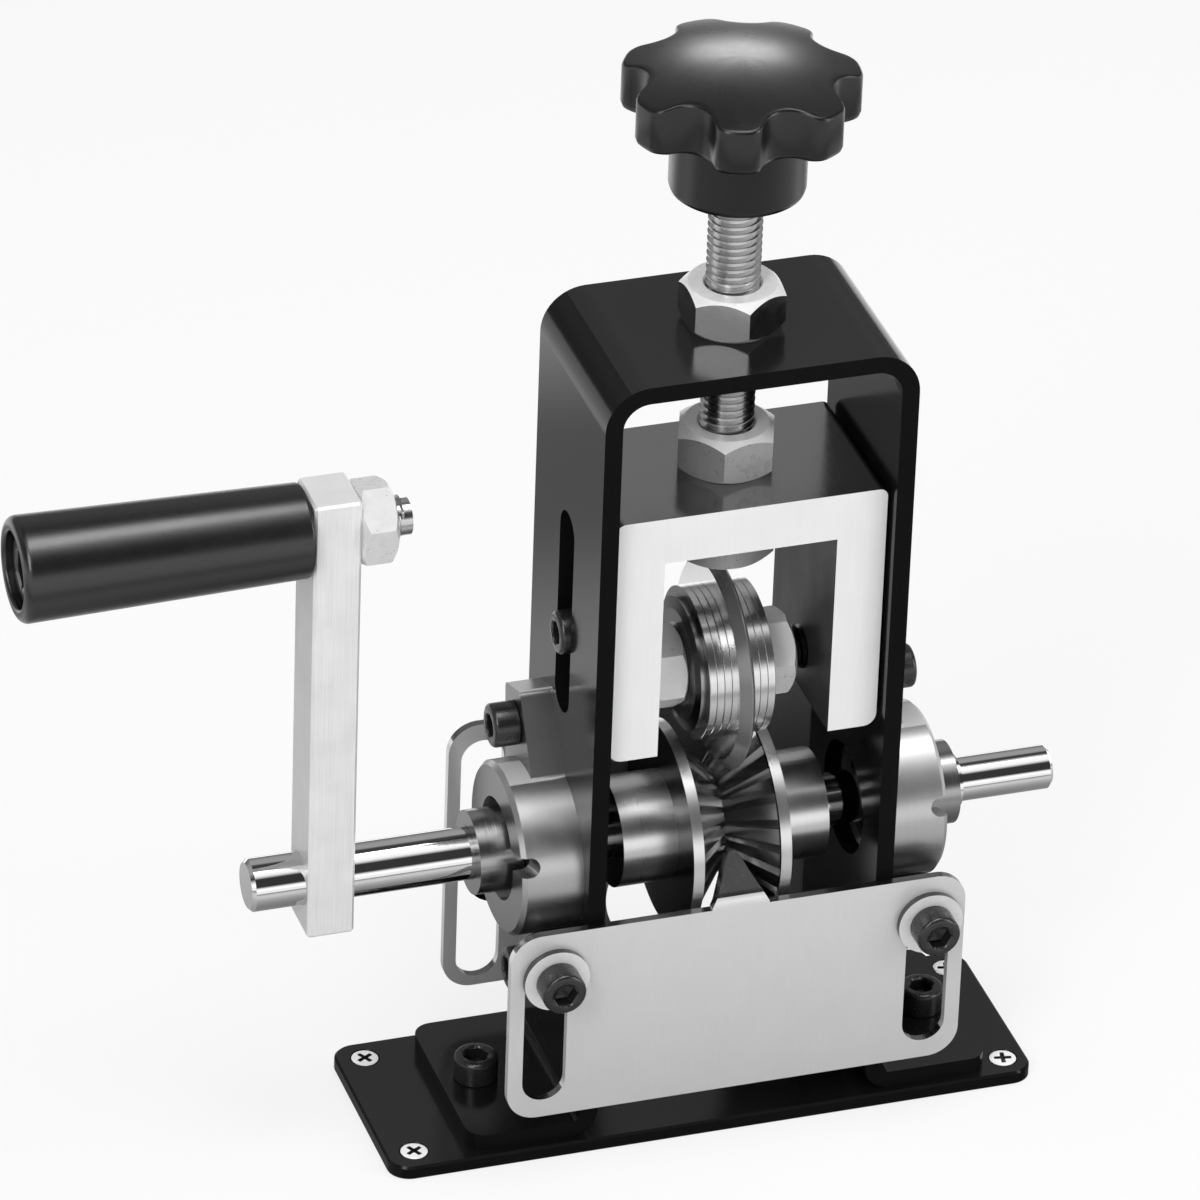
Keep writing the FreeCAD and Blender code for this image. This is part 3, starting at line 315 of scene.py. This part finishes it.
def lathe_place(tree, centre):
    """Coordinates for lathe marks round a line along X: the distance from it and the place along it."""
    parts = add(tree, "ShaderNodeSeparateXYZ")
    tree.links.new(place_of(tree, centre=centre), parts.inputs[0])
    squares = [math_node(tree, "POWER", parts.outputs[name], 2.0) for name in ("Y", "Z")]
    joined = add(tree, "ShaderNodeCombineXYZ")
    tree.links.new(math_node(tree, "SQRT", math_node(tree, "ADD", *squares)), joined.inputs["X"])
    tree.links.new(parts.outputs["X"], joined.inputs["Y"])
    return joined.outputs[0]


def by_face(tree, axis, limit):
    """1 where the share of the normal along an axis of the object is over a limit, 0 elsewhere."""
    parts = add(tree, "ShaderNodeSeparateXYZ")
    tree.links.new(add(tree, "ShaderNodeTexCoord").outputs["Normal"], parts.inputs[0])
    return math_node(tree, "GREATER_THAN", math_node(tree, "ABSOLUTE", parts.outputs[axis]), limit)


# %% One finish
grain_share, cloud_share = 0.6, 0.4
cloud_scale = 0.12
scratch_stretch, scratch_scale = (0.9, 0.25, 4.0), 1.4
scratch_from, scratch_to = 0.66, 0.74
finishes = {}


def finish(name, colour, metal, rough, scale=0.4, lathe=None, stretch=(1.0, 1.0, 1.0), spread=0.15,
           tone=0.08, relief=0.00001, wear=0.0, gloss=0.5, faces=()):
    """A finish with grain in colour, roughness and relief, and with fine scratches where `wear` is over 0.

    `lathe` is the line that a piece was turned on, and `relief` is in metres. `spread` and `tone` are the
    shares by which roughness and colour vary. Each row of `faces` gives other values to the faces that look
    along an axis: the axis, the least share of the normal along it, a factor on the colour, metal,
    roughness and gloss. The factor on the colour is painted light: under 1 it paints shade on those faces,
    over 1 a painted highlight.
    """
    item = bpy.data.materials.new(name)
    item.use_nodes = True
    tree = item.node_tree
    shader = tree.nodes["Principled BSDF"]
    place = lathe_place(tree, lathe) if lathe else place_of(tree, stretch)
    marks = noise(tree, place, scale)
    cloud = noise(tree, place_of(tree), cloud_scale, 2.0)
    both = math_node(
        tree, "MULTIPLY_ADD", marks, grain_share, math_node(tree, "MULTIPLY", cloud, cloud_share))
    dim = tuple(value * (1.0 - tone) for value in colour)
    pale = tuple(min(value * (1.0 + tone), 1.0) for value in colour)
    paint = mix_colour(tree, vary(tree, both, 0.0, 1.0), dim, pale)
    level = vary(tree, both, rough * (1.0 - spread), rough * (1.0 + spread))
    if wear:
        lines = noise(tree, place_of(tree, scratch_stretch), scratch_scale, 5.0, 0.7)
        scratch = map_range(tree, lines, scratch_from, scratch_to, 0.0, wear)
        level = math_node(tree, "ADD", level, scratch)
    metalness, shine = metal, gloss
    for axis, limit, factor, face_metal, face_rough, face_gloss in faces:
        chosen = by_face(tree, axis, limit)
        # Multiply the colour on the chosen faces: painted shade where the factor is under 1, painted
        # highlight where it is over 1.
        painted_light = add(tree, "ShaderNodeMix", data_type="RGBA", blend_type="MULTIPLY")
        painted_light.inputs["B"].default_value = (factor, factor, factor, 1.0)
        tree.links.new(chosen, painted_light.inputs["Factor"])
        tree.links.new(paint, painted_light.inputs["A"])
        paint = painted_light.outputs["Result"]
        level = math_node(tree, "MULTIPLY_ADD", chosen, face_rough - rough, level)
        metalness = math_node(tree, "MULTIPLY_ADD", chosen, face_metal - metal, metalness)
        shine = math_node(tree, "MULTIPLY_ADD", chosen, face_gloss - gloss, shine)
    feed(tree, metalness, shader.inputs["Metallic"])
    feed(tree, shine, shader.inputs["Specular IOR Level"])
    tree.links.new(paint, shader.inputs["Base Color"])
    tree.links.new(level, shader.inputs["Roughness"])
    if relief:
        bump(tree, shader, marks, relief)
    finishes[name] = item


# %% The finishes
shaft_z, blade_z = 67.3, 108.8
shaft_line = (0.0, 0.0, shaft_z)
blade_line = (0.0, 0.0, blade_z)
finish("black_paint", (0.006, 0.006, 0.0065), 0.0, 0.16, scale=0.8, relief=0.00002, wear=0.1, gloss=0.18,
       faces=[("Y", 0.8, 1.0, 0.0, 0.2, 0.02), ("Z", 0.9, 1.0, 0.0, 0.18, 0.5)])
finish("knob_plastic", (0.004, 0.004, 0.004), 0.0, 0.3, scale=1.5, relief=0.000006, wear=0.04)
finish("grip_plastic", (0.004, 0.004, 0.004), 0.0, 0.3, scale=1.2, relief=0.000006, wear=0.06, gloss=0.8)
finish("seal_rubber", (0.012, 0.012, 0.012), 0.0, 0.55, scale=3.0, relief=0.00002)
finish("black_oxide", (0.012, 0.012, 0.013), 0.0, 0.28, scale=2.0, wear=0.1, gloss=0.7)
# bright_zinc: painted shade on the faces that look up (colour times 0.3, fully metallic).
finish("bright_zinc", (0.8, 0.8, 0.79), 0.6, 0.25, scale=0.5, spread=0.3, wear=0.08,
       faces=[("Z", 0.93, 0.3, 1.0, 0.25, 0.5)])
finish("dark_zinc", (0.42, 0.42, 0.42), 1.0, 0.22, scale=0.5, spread=0.3, wear=0.08)
finish("grey_zinc", (0.4, 0.4, 0.4), 0.5, 0.3, scale=0.5, spread=0.3, wear=0.08)
# white_zinc is the zinc plating painted almost white and barely metallic: painted light on nut ends, on the
# blade nuts and on the heads of the base screws.
finish("white_zinc", (0.95, 0.95, 0.95), 0.1, 0.3, scale=0.5, spread=0.2, wear=0.04)
finish("pale_zinc", (0.72, 0.72, 0.72), 0.3, 0.3, scale=0.5, spread=0.2, wear=0.04)
# dark_casting: painted shade on the faces that look along X (colour times 0.35) and a painted highlight on
# the flat tops (times 1.3).
finish("dark_casting", (0.6, 0.6, 0.605), 1.0, 0.34, scale=2.0, lathe=shaft_line, relief=0, tone=0.04,
       spread=0.08, faces=[("X", 0.8, 0.35, 1.0, 0.3, 0.5), ("Z", 0.97, 1.3, 0.4, 0.4, 0.5)])
# bearing_steel: painted shade on the faces that look along X (times 0.45).
finish("bearing_steel", (0.4, 0.4, 0.405), 1.0, 0.25, scale=3.0, lathe=shaft_line, relief=0, tone=0.05,
       faces=[("X", 0.8, 0.45, 1.0, 0.3, 0.5)])
# wheel_steel: painted shade on the wheels' sides, deepest on their flat faces (times 0.35, then times 0.1).
finish("wheel_steel", (0.8, 0.8, 0.805), 1.0, 0.28, scale=0.9, lathe=shaft_line, relief=0, tone=0.04,
       spread=0.05, faces=[("X", 0.3, 0.35, 1.0, 0.24, 0.5), ("X", 0.93, 0.1, 1.0, 0.3, 0.5)])
# hub_steel: painted shade on the hub's flat faces (times 0.1).
finish("hub_steel", (0.35, 0.35, 0.355), 1.0, 0.22, scale=4.0, lathe=blade_line, relief=0, tone=0.05,
       faces=[("X", 0.8, 0.1, 1.0, 0.3, 0.5)])
# polished_steel: painted shade on the end faces (times 0.4).
finish("polished_steel", (0.86, 0.86, 0.87), 1.0, 0.07, scale=6.0, lathe=shaft_line, relief=0, wear=0.05,
       faces=[("X", 0.8, 0.4, 1.0, 0.2, 0.5)])
# blade_steel: painted light on the blade's flat sides, four times the colour of the rest, against the shade
# inside the frame.
finish("blade_steel", (0.24, 0.24, 0.24), 0.6, 0.25, scale=5.0, lathe=blade_line, spread=0.2, relief=0,
       faces=[("X", 0.95, 4.0, 1.0, 0.16, 0.5)])
# washer_steel: painted shade on the flat faces of the spacer rings (times 0.12).
finish("washer_steel", (0.75, 0.75, 0.755), 1.0, 0.22, scale=1.5, lathe=blade_line, spread=0.1, relief=0,
       faces=[("X", 0.8, 0.12, 1.0, 0.3, 0.5)])
finish("thread_steel", (0.62, 0.62, 0.62), 1.0, 0.22, scale=2.0)
finish("dark_thread", (0.05, 0.05, 0.05), 1.0, 0.35, scale=2.0)
# arm_aluminium: painted shade on the faces that look along X (times 0.68).
finish("arm_aluminium", (0.82, 0.82, 0.82), 0.4, 0.45, scale=1.2, stretch=(3.0, 3.0, 0.05), tone=0.12,
       wear=0.1, faces=[("X", 0.8, 0.68, 0.4, 0.45, 0.5)])
# guide_sheet: painted shade on the faces that look up, such as the bent tab (times 0.34).
finish("guide_sheet", (0.74, 0.74, 0.74), 0.5, 0.32, scale=1.2, stretch=(2.0, 2.0, 0.1), tone=0.03,
       wear=0.08, faces=[("Z", 0.5, 0.34, 1.0, 0.25, 0.5)])
# plate_washer: a dark copy of the washer metal whose front and back faces are 7.5 times lighter: painted
# shade on the rims, painted highlight on the faces.
finish("plate_washer", (0.1, 0.1, 0.1), 0.8, 0.3, scale=1.0, faces=[("Y", 0.8, 7.5, 0.2, 0.35, 0.5)])
# carriage_aluminium: painted shade on the sides (times 0.035, no metal, little gloss) and on the top (times
# 0.42).
finish("carriage_aluminium", (0.86, 0.86, 0.865), 0.3, 0.4, scale=1.0, stretch=(1.6, 0.3, 0.06), tone=0.03,
       wear=0.06, faces=[("X", 0.7, 0.035, 0.0, 0.4, 0.15), ("Z", 0.7, 0.42, 1.0, 0.18, 0.5)])
# Finishes for bevel faces, paler than the faces they round: a painted highlight along metal edges and along
# the black paint's edges.
finish("painted_highlight_metal_edge", (0.85, 0.85, 0.85), 0.5, 0.25, scale=2.0)
finish("painted_highlight_paint_edge", (0.2, 0.2, 0.202), 0.7, 0.3, scale=2.0)
print("finishes:", len(finishes))

# %% Dress the CAD nodes
slots = {part["node"]: part["material_slot"] for part in frame["record"]["subparts"]}
# The blade hub and the guide washers take hub_steel and plate_washer, whose faces carry painted shade and
# painted highlight.
own_look = {"blade_hub": "hub_steel", "guide_washers": "plate_washer"}
for name, item in nodes.items():
    look = own_look.get(name, slots[name])
    item.data.materials.clear()
    item.data.materials.append(finishes[look])
print("material slots:", len(set(slots.values())))

# %% [markdown]
# ## Softened edges
# A real edge is never perfectly sharp. A narrow bevel catches a thin line of light and makes the metal look
# thick. On the serrated wheels it draws the edge of every tooth. Most bevels also take a paler finish than
# the faces they round, a painted highlight along the edge.

# %% Bevels on the CAD solids
bevel_over = math.radians(35)
# Bevel width in millimetres and the finish of the bevel faces; the painted highlight finishes draw a light
# line along each edge, and None keeps the node's own finish.
edge_width = {
    "u_frame": (0.3, "painted_highlight_paint_edge"), "base_plate": (0.25, "painted_highlight_paint_edge"), "carriage": (0.3, "painted_highlight_metal_edge"),
    "crank_arm": (0.25, None),
    "front_guide_plate": (0.25, "painted_highlight_metal_edge"), "rear_guide_plate": (0.25, "painted_highlight_metal_edge"),
    "bearing_housing_left": (0.6, "painted_highlight_metal_edge"), "bearing_housing_right": (0.6, "painted_highlight_metal_edge"),
    "drive_wheel_left": (0.2, "painted_highlight_metal_edge"), "drive_wheel_right": (0.2, "painted_highlight_metal_edge"),
    "bearing_inner_rings": (0.25, "painted_highlight_metal_edge"), "bearing_outer_rings": (0.2, "painted_highlight_metal_edge"),
    "blade_hub": (0.2, "painted_highlight_metal_edge"), "blade_disc": (0.08, "painted_highlight_metal_edge"),
    "guide_washers": (0.15, "plate_washer"), "guide_lugs": (0.4, "painted_highlight_paint_edge"),
    "collar_set_screws": (0.15, None), "wheel_set_screws": (0.2, None), "crank_set_screw": (0.2, None)}
for name, (width, edge) in edge_width.items():
    soften = nodes[name].modifiers.new("edge", "BEVEL")
    soften.width = width * MM
    soften.segments = 2
    soften.limit_method = "ANGLE"
    soften.angle_limit = bevel_over
    if edge:
        nodes[name].data.materials.append(finishes[edge])
        soften.material = 1
print("bevelled nodes:", len(edge_width))

# %% [markdown]
# ## Turned and hexagonal hardware
# Nuts, screws and threads are rows of points round an axis, like beads on rings. A ring may be a circle, a
# hexagon or a cross, and its height may change round the axis, so one helper makes nearly all of them.

# %% Rings round an axis
# For each axis: the axis itself, the direction where a ring starts, and the one a quarter of a turn on.
AXES = {
    "X": (Vector((1, 0, 0)), Vector((0, 0, -1)), Vector((0, 1, 0))),
    "Y": (Vector((0, 1, 0)), Vector((1, 0, 0)), Vector((0, 0, -1))),
    "Z": (Vector((0, 0, 1)), Vector((1, 0, 0)), Vector((0, 1, 0)))}


def hexagon(inner):
    """Radius of a hexagon round the axis, corners at every sixth of a turn."""
    return lambda angle: inner / math.cos(angle % (math.pi / 3) - math.pi / 6)


def cross(length, half):
    """Radius of a cross with four arms."""
    def radius(angle):
        local = (angle + math.pi / 4) % (math.pi / 2) - math.pi / 4
        end = length / math.cos(local)
        side = half / max(abs(math.sin(local)), 1e-6)
        return min(end, side)
    return radius


def value_at(value, angle):
    """The value itself, or what it gives at an angle if it is a function."""
    return value(angle) if callable(value) else value


def rings(mesh, rows, axis, centre, turn=0.0, count=48, sense=1, closed=False, second=()):
    """Join rows of (place along the axis, radius) by faces; either may be a function of the angle.

    A row with radius 0 is a single point, and `closed` joins the last row to the first. Bands whose number
    is in `second` take the second material.
    """
    along, u, v = AXES[axis]
    middle = Vector(centre)
    loops = []
    for place, radius in rows:
        if radius == 0:
            loops.append([mesh.verts.new((middle + along * place * sense) * MM)])
            continue
        loop = []
        for step in range(count):
            angle = 2 * math.pi * step / count
            away = u * math.cos(angle + turn) + v * math.sin(angle + turn)
            spot = middle + along * value_at(place, angle) * sense + away * value_at(radius, angle)
            loop.append(mesh.verts.new(spot * MM))
        loops.append(loop)
    pairs = list(zip(loops, loops[1:])) + ([(loops[-1], loops[0])] if closed else [])
    for band, (low, high) in enumerate(pairs):
        for step in range(count):
            after = (step + 1) % count
            corners = [
                low[step % len(low)], low[after % len(low)],
                high[after % len(high)], high[step % len(high)]]
            unique = [vert for index, vert in enumerate(corners) if vert not in corners[:index]]
            if len(unique) > 2:
                mesh.faces.new(unique).material_index = 1 if band in second else 0


def piece(name, mesh, look, body, *stands_for, sharp=35.0, slot=None, extra=None):
    """Turn a finished mesh into a piece that rides on a body and stands for CAD nodes."""
    bmesh.ops.remove_doubles(mesh, verts=mesh.verts, dist=1e-7)
    bmesh.ops.recalc_face_normals(mesh, faces=mesh.faces)
    data = bpy.data.meshes.new(name)
    mesh.to_mesh(data)
    mesh.free()
    data.polygons.foreach_set("use_smooth", [True] * len(data.polygons))
    data.set_sharp_from_angle(angle=math.radians(sharp))
    data.materials.append(finishes[look])
    if extra:
        data.materials.append(finishes[extra])
    item = bpy.data.objects.new(name, data)
    scene.collection.objects.link(item)
    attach(item, body)
    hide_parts(*stands_for)
    print(name, "has", len(data.polygons), "faces")
    return item


# %% Nuts
# A nut's size is its radius over the corners and that of its bore. The nuts on the spindle are drawn wider
# than in the CAD. The six flats of a nut take its first material, and its ends take the second. The frame
# nut and the lock nuts have pale white_zinc ends on darker flats, lit and shaded copies of one plating: a
# painted highlight on the ends and painted shade on the flats. The blade nuts are white_zinc all over,
# painted light on nuts that sit in the frame's shade.
frame_top = 194.4
spindle_line = (0.0, 0.0, 0.0)
grip_line = (0.0, 0.0, 156.6)
spindle_nut_size = (11.9, 6.05)
small_nut_size = (9.8, 5.02)


def nut(mesh, axis, centre, size, low, high, turn, flat=0.82, slope=35.0):
    """A hexagon nut whose ends are turned down to cones.

    `flat` is the end face's share of the corner radius, and `slope` the angle of the cones in degrees.
    """
    corner, bore = size
    mouth = 0.5
    face = corner * flat
    side = hexagon(corner * math.cos(math.pi / 6))

    def drop(angle):
        return (side(angle) - face) * math.tan(math.radians(slope))

    rings(mesh, [
        (low, bore + mouth), (low, face), (lambda a: low + drop(a), side),
        (lambda a: high - drop(a), side), (high, face), (high, bore + mouth),
        (high - mouth, bore), (low + mouth, bore)],
        axis, centre, math.radians(turn), count=72, closed=True, second=(0, 1, 3, 4, 5, 6))


mesh = bmesh.new()
nut(mesh, "Z", spindle_line, spindle_nut_size, frame_top, 204.3, 30.0, slope=42.0)
piece("frame_nut", mesh, "dark_zinc", "base", "spindle_nut", slot="bright_zinc", extra="white_zinc")
mesh = bmesh.new()
nut(mesh, "Z", spindle_line, spindle_nut_size, 158.95, 169.65, -110.0, flat=0.78)
nut(mesh, "Z", spindle_line, spindle_nut_size, 137.55, 147.55, -96.0)
piece("lock_nuts", mesh, "grey_zinc", "spindle", "spindle_lock_nuts", slot="bright_zinc",
      extra="white_zinc")
mesh = bmesh.new()
nut(mesh, "X", blade_line, small_nut_size, -17.1, -9.1, 107.0)
nut(mesh, "X", blade_line, small_nut_size, 8.1, 16.1, 140.7)
# White_zinc all over: painted light on nuts that sit in the frame's shade.
piece("blade_nuts", mesh, "white_zinc", "carriage", "axle_nuts", slot="bright_zinc", extra="white_zinc")
mesh = bmesh.new()
nut(mesh, "X", grip_line, small_nut_size, -84.3, -76.3, 15.0)
piece("crank_nut", mesh, "pale_zinc", "drive", "grip_nut", slot="bright_zinc", extra="pale_zinc")

# %% [markdown]
# ## Threads
# A real thread is one groove that winds round a bar. A Screw modifier could wind a profile like that, but
# its ends would stay open. Here each loop of points climbs by one pitch in a turn, and what lies past an end
# is pressed flat on to it, so the thread runs out and the bar is closed.

# %% Threads
# A thread's size is its outer radius and its pitch.
spindle_thread_size = (5.98, 1.75)
small_thread_size = (4.98, 1.5)


def thread(mesh, axis, centre, size, low, high, count=40):
    """A right-hand screw thread with flat crests and roots, run out at both ends."""
    radius, pitch = size
    core = radius - 0.55 * pitch
    form = ((0.0, radius), (0.125, radius), (0.45, core), (0.7, core))
    turns = int((high - low) / pitch) + 2
    along, u, v = AXES[axis]
    middle = Vector(centre)
    loops = []
    for stop, level in [(number + part, level) for number in range(-1, turns) for part, level in form]:
        loop = []
        for step in range(count + 1):
            angle = 2 * math.pi * step / count
            place = low + (stop + angle / (2 * math.pi)) * pitch
            away = u * math.cos(angle) + v * math.sin(angle)
            reach = level if low < place < high else core
            spot = middle + along * min(max(place, low), high) + away * reach
            loop.append(mesh.verts.new(spot * MM))
        loops.append(loop)
    for below, above in zip(loops, loops[1:]):
        for step in range(count):
            mesh.faces.new((below[step], below[step + 1], above[step + 1], above[step]))
    for end in (low, high):
        rings(mesh, [(end, core), (end, 0)], axis, centre, count=count)


def run_out(mesh):
    """Merge the flattened ends of a thread and drop the faces that have no area."""
    bmesh.ops.remove_doubles(mesh, verts=mesh.verts, dist=2e-7)
    bmesh.ops.dissolve_degenerate(mesh, edges=mesh.edges, dist=2e-7)


mesh = bmesh.new()
thread(mesh, "Z", spindle_line, spindle_thread_size, 136.9, 253.3)
run_out(mesh)
piece("threaded_spindle", mesh, "thread_steel", "spindle", "spindle", slot="bright_zinc")
mesh = bmesh.new()
thread(mesh, "X", blade_line, small_thread_size, -30.4, 30.4)
run_out(mesh)
piece("threaded_axle", mesh, "dark_thread", "carriage", "blade_axle", slot="bright_zinc")

# %% Spacer rings
# Each ring is flat with a small chamfer, so the stack reads as separate washers.


def stack(name, low, wide, number, node):
    """Rings of one width side by side on the blade's line, from `low` along X."""
    mesh = bmesh.new()
    outer, inner, corner, gap = 17.25, 11.0, 0.1, 0.04
    for index in range(number):
        start = low + wide * index + gap
        end = start + wide - 2 * gap
        rings(mesh, [
            (start, inner), (start, outer - corner), (start + corner, outer), (end - corner, outer),
            (end, outer - corner), (end, inner)], "X", blade_line, count=128, closed=True)
    piece(name, mesh, "washer_steel", "blade", node, sharp=20.0)


stack("spacer_rings_left", -7.16, 1.72, 3, "blade_spacers_left")
stack("spacer_rings_right", 1.0, 1.75, 4, "blade_spacers_right")

# %% [markdown]
# ## Screws
# A socket cap screw is a turned head with a hexagonal hole, and a cross-head screw is a cone with a cross in
# it. A Boolean could cut such holes, but it leaves long thin faces round them. Rings that change from a
# circle to a hexagon or a cross give the same holes with even faces.

# %% Socket screws
# Head, shank, socket and bolt circle are radii. A seat is the plane that a screw's head stands on, and
# `lean` is the tilt of the bearing flanges.
m6_head, m6_tall, m6_shank, m6_socket, m6_deep = 5.0, 6.0, 3.0, 2.51, 3.2
foot_x, foot_seat = 52.9, 7.0
bolt_circle, flange_seat, lean = 28.0, 43.3, math.radians(18.0)
plate_x, plate_z, plate_seat = 43.6, 48.6, 27.5
slot_z, slot_seat = 121.3, 30.9
sides = (-1, 1)


def socket_rows(length, head=m6_head, tall=m6_tall, shank=m6_shank, inner=m6_socket, deep=m6_deep):
    """Rows of a socket cap screw standing on height 0, from its tip to the bottom of its socket."""
    return [
        (-length, 0), (-length, shank - 0.6), (-length + 0.6, shank), (0, shank),
        (0, head - 0.3), (0.3, head), (tall - 1.0, head), (tall - 0.6, head - 0.08),
        (tall - 0.25, head - 0.35), (tall, head - 0.9), (tall, inner * 1.22),
        (tall - 0.35, hexagon(inner)), (tall - deep, hexagon(inner)), (tall - deep - 0.8, 0)]


def screws(name, spots, rows, body, node):
    """Several screws in one piece; a spot is (axis, sense, centre, height of the seat along the axis)."""
    mesh = bmesh.new()
    for axis, sense, centre, seat in spots:
        rings(mesh, rows, axis, Vector(centre) + AXES[axis][0] * seat, sense=sense)
    piece(name, mesh, "black_oxide", body, node)


bolt_y, bolt_z = bolt_circle * math.sin(lean), bolt_circle * math.cos(lean)
screws("foot_screws", [("Z", 1, (x, 0, 0), foot_seat) for x in (-foot_x, foot_x)],
       socket_rows(6.6), "base", "foot_bolts")
screws("flange_screws",
       [("X", side, (0, bolt_y * row, shaft_z + bolt_z * row), flange_seat * side)
        for side in sides for row in sides],
       socket_rows(11.6), "base", "bearing_bolts")
screws("plate_screws",
       [("Y", row, (plate_x * side, 0, plate_z), plate_seat * row) for side in sides for row in sides],
       socket_rows(10.0), "base", "guide_screws")
screws("slot_screws", [("X", side, (0, 0, slot_z), slot_seat * side) for side in sides],
       socket_rows(7.5, head=4.9, tall=6.7), "carriage", "carriage_guide_screws")

# %% Bolt of the grip
# A socket head inside the grip's recess, a plain neck and a threaded end. The head is black.
bolt_core, bolt_shank, head_seat = 4.1, 5.0, 150.1
head_rows = socket_rows(1.0, head=8.0, tall=8.0, shank=bolt_shank, inner=3.98, deep=4.0)[4:]
mesh = bmesh.new()
bolt_rows = [
    (72.0, 0), (72.0, bolt_core), (80.0, bolt_core), (80.0, bolt_shank), (head_seat, bolt_shank)]
bolt_rows += [(head_seat + height, radius) for height, radius in head_rows]
rings(mesh, bolt_rows, "X", grip_line, sense=-1, second=range(5, 15))
thread(mesh, "X", grip_line, small_thread_size, -84.0, -74.0)
run_out(mesh)
piece("handle_bolt", mesh, "thread_steel", "drive", "grip_bolt", slot="bright_zinc", extra="black_oxide")

# %% Cross-head screws of the base plate
# The turn follows from x, so that the left and the right pair stand differently.
mesh = bmesh.new()
recess = cross(2.0, 0.5)
for x in (-73.0, 66.2):
    for y in (-19.0, 19.0):
        rings(mesh, [
            (0.1, 0), (0.1, 1.8), (1.65, 1.95), (2.95, 3.05), (3.02, 2.95), (3.1, 2.4), (3.1, recess),
            (2.2, cross(1.6, 0.4)), (1.9, 0)],
            "Z", (x, y, 0), math.radians(12 + x), count=96, second=(6, 7))
# The heads in white_zinc carry painted light; the walls and floor of the cross recess (bands 6 and 7) in
# black_oxide are painted shade.
piece("base_cross_screws", mesh, "white_zinc", "base", "base_screws", slot="bright_zinc",
      extra="black_oxide")

# %% [markdown]
# ## Moulded knob and grip
# The knob is a star with seven lobes. Its outline joins round valleys and round tips, and its top is a
# shallow dome that rolls over at the edge. Soft roundings give black plastic its long quiet highlights.

# %% Outline of the knob
# A valley is an arc of radius `valley` about a point that lies `valley_out` from the axis. From `meet`, an
# arc of radius `tip` leads on to the rim.
lobes = 7
valley_out, valley, tip, rim = 27.5, 7.0, 3.6, 26.0
tip_out = rim - tip
tip_angle = math.acos(
    (valley_out ** 2 + tip_out ** 2 - (valley + tip) ** 2) / (2 * valley_out * tip_out))
share = valley / (valley + tip)
meet = Vector((valley_out + (tip_out * math.cos(tip_angle) - valley_out) * share,
               tip_out * math.sin(tip_angle) * share))
meet_angle = math.atan2(meet.y, meet.x)


def star(angle):
    """Radius of the knob's outline, measured from the middle of a valley."""
    pitch = 2 * math.pi / lobes
    local = abs((angle + pitch / 2) % pitch - pitch / 2)
    if local < meet_angle:
        return valley_out * math.cos(local) - math.sqrt(valley ** 2 - (valley_out * math.sin(local)) ** 2)
    if local < tip_angle:
        off = local - tip_angle
        return tip_out * math.cos(off) + math.sqrt(tip ** 2 - (tip_out * math.sin(off)) ** 2)
    return rim


# %% Body of the knob
# Heights of the top, the lobes' underside and the hub's lower end, then radii. `dome` says how fast the top
# falls away from its middle.
top, under, low, hub = shaft_z + 192.0, shaft_z + 176.9, shaft_z + 160.2, 14.9
bore, bore_deep = 6.1, 8
roll = 0.8
dome = 0.0068
knob_turn = -110.0


def crown(part):
    """Height of the top at a share of the outline's radius: a shallow dome with a rolled edge."""
    def height(angle):
        radius = star(angle) * part
        edge = max(roll - (star(angle) - radius), 0.0)
        return top - dome * radius ** 2 - (roll - math.sqrt(roll ** 2 - edge ** 2))
    return height


def scaled(part, inset=0.0):
    """The outline's radius times a share, less an inset."""
    return lambda angle: star(angle) * part - inset


mesh = bmesh.new()
rows = [(top, 0)]
for part in (0.12, 0.25, 0.4, 0.55, 0.7, 0.82, 0.91, 0.965, 0.975, 0.985, 0.993, 1.0):
    rows.append((crown(part), scaled(part)))
rows += [(under + 1.5, scaled(1.0)), (under + 0.45, scaled(1.0, 0.4)), (under, scaled(1.0, 1.4)),
         (under, hub + 1.3), (under - 0.5, hub + 0.4), (under - 1.6, hub), (low + 1.5, hub),
         (low + 0.4, hub - 0.35), (low, hub - 1.3), (low, bore), (low + bore_deep, bore),
         (low + bore_deep, 0)]
rings(mesh, rows, "Z", spindle_line, math.radians(knob_turn + 180.0 / lobes), count=lobes * 32)
star_knob = piece("star_knob", mesh, "knob_plastic", "spindle", "knob", sharp=50.0)
lit_by_lamp = bpy.data.collections.new("knob_lamp_lights")
lit_by_lamp.objects.link(star_knob)
knob_lamp.light_linking.receiver_collection = lit_by_lamp

# %% Grip
# The rows run from the recess over its lip to the tapered sleeve and its rounded inner end.
bolt_clear, recess_radius = 5.1, 8.5
recess_floor, recess_edge = 150.0, 159.2
lip, outer_round, inner_round = 0.8, 2.0, 1.0
mesh = bmesh.new()
steps = [math.radians(90.0 * step / 8) for step in range(9)]
rows = [(recess_floor, bolt_clear), (recess_floor, recess_radius), (recess_edge, recess_radius)]
rows += [(recess_edge + lip * math.sin(a), recess_radius + lip * (1 - math.cos(a))) for a in steps]
rows += [(158.0 + outer_round * math.cos(a), 9.75 + outer_round * math.sin(a)) for a in steps]
rows += [(96.3 - inner_round * math.sin(a), 9.5 + inner_round * math.cos(a)) for a in steps]
rows += [(95.3, bolt_clear)]
rings(mesh, rows, "X", grip_line, sense=-1, count=96, closed=True)
piece("handle_grip", mesh, "grip_plastic", "grip", "grip_sleeve", sharp=50.0)
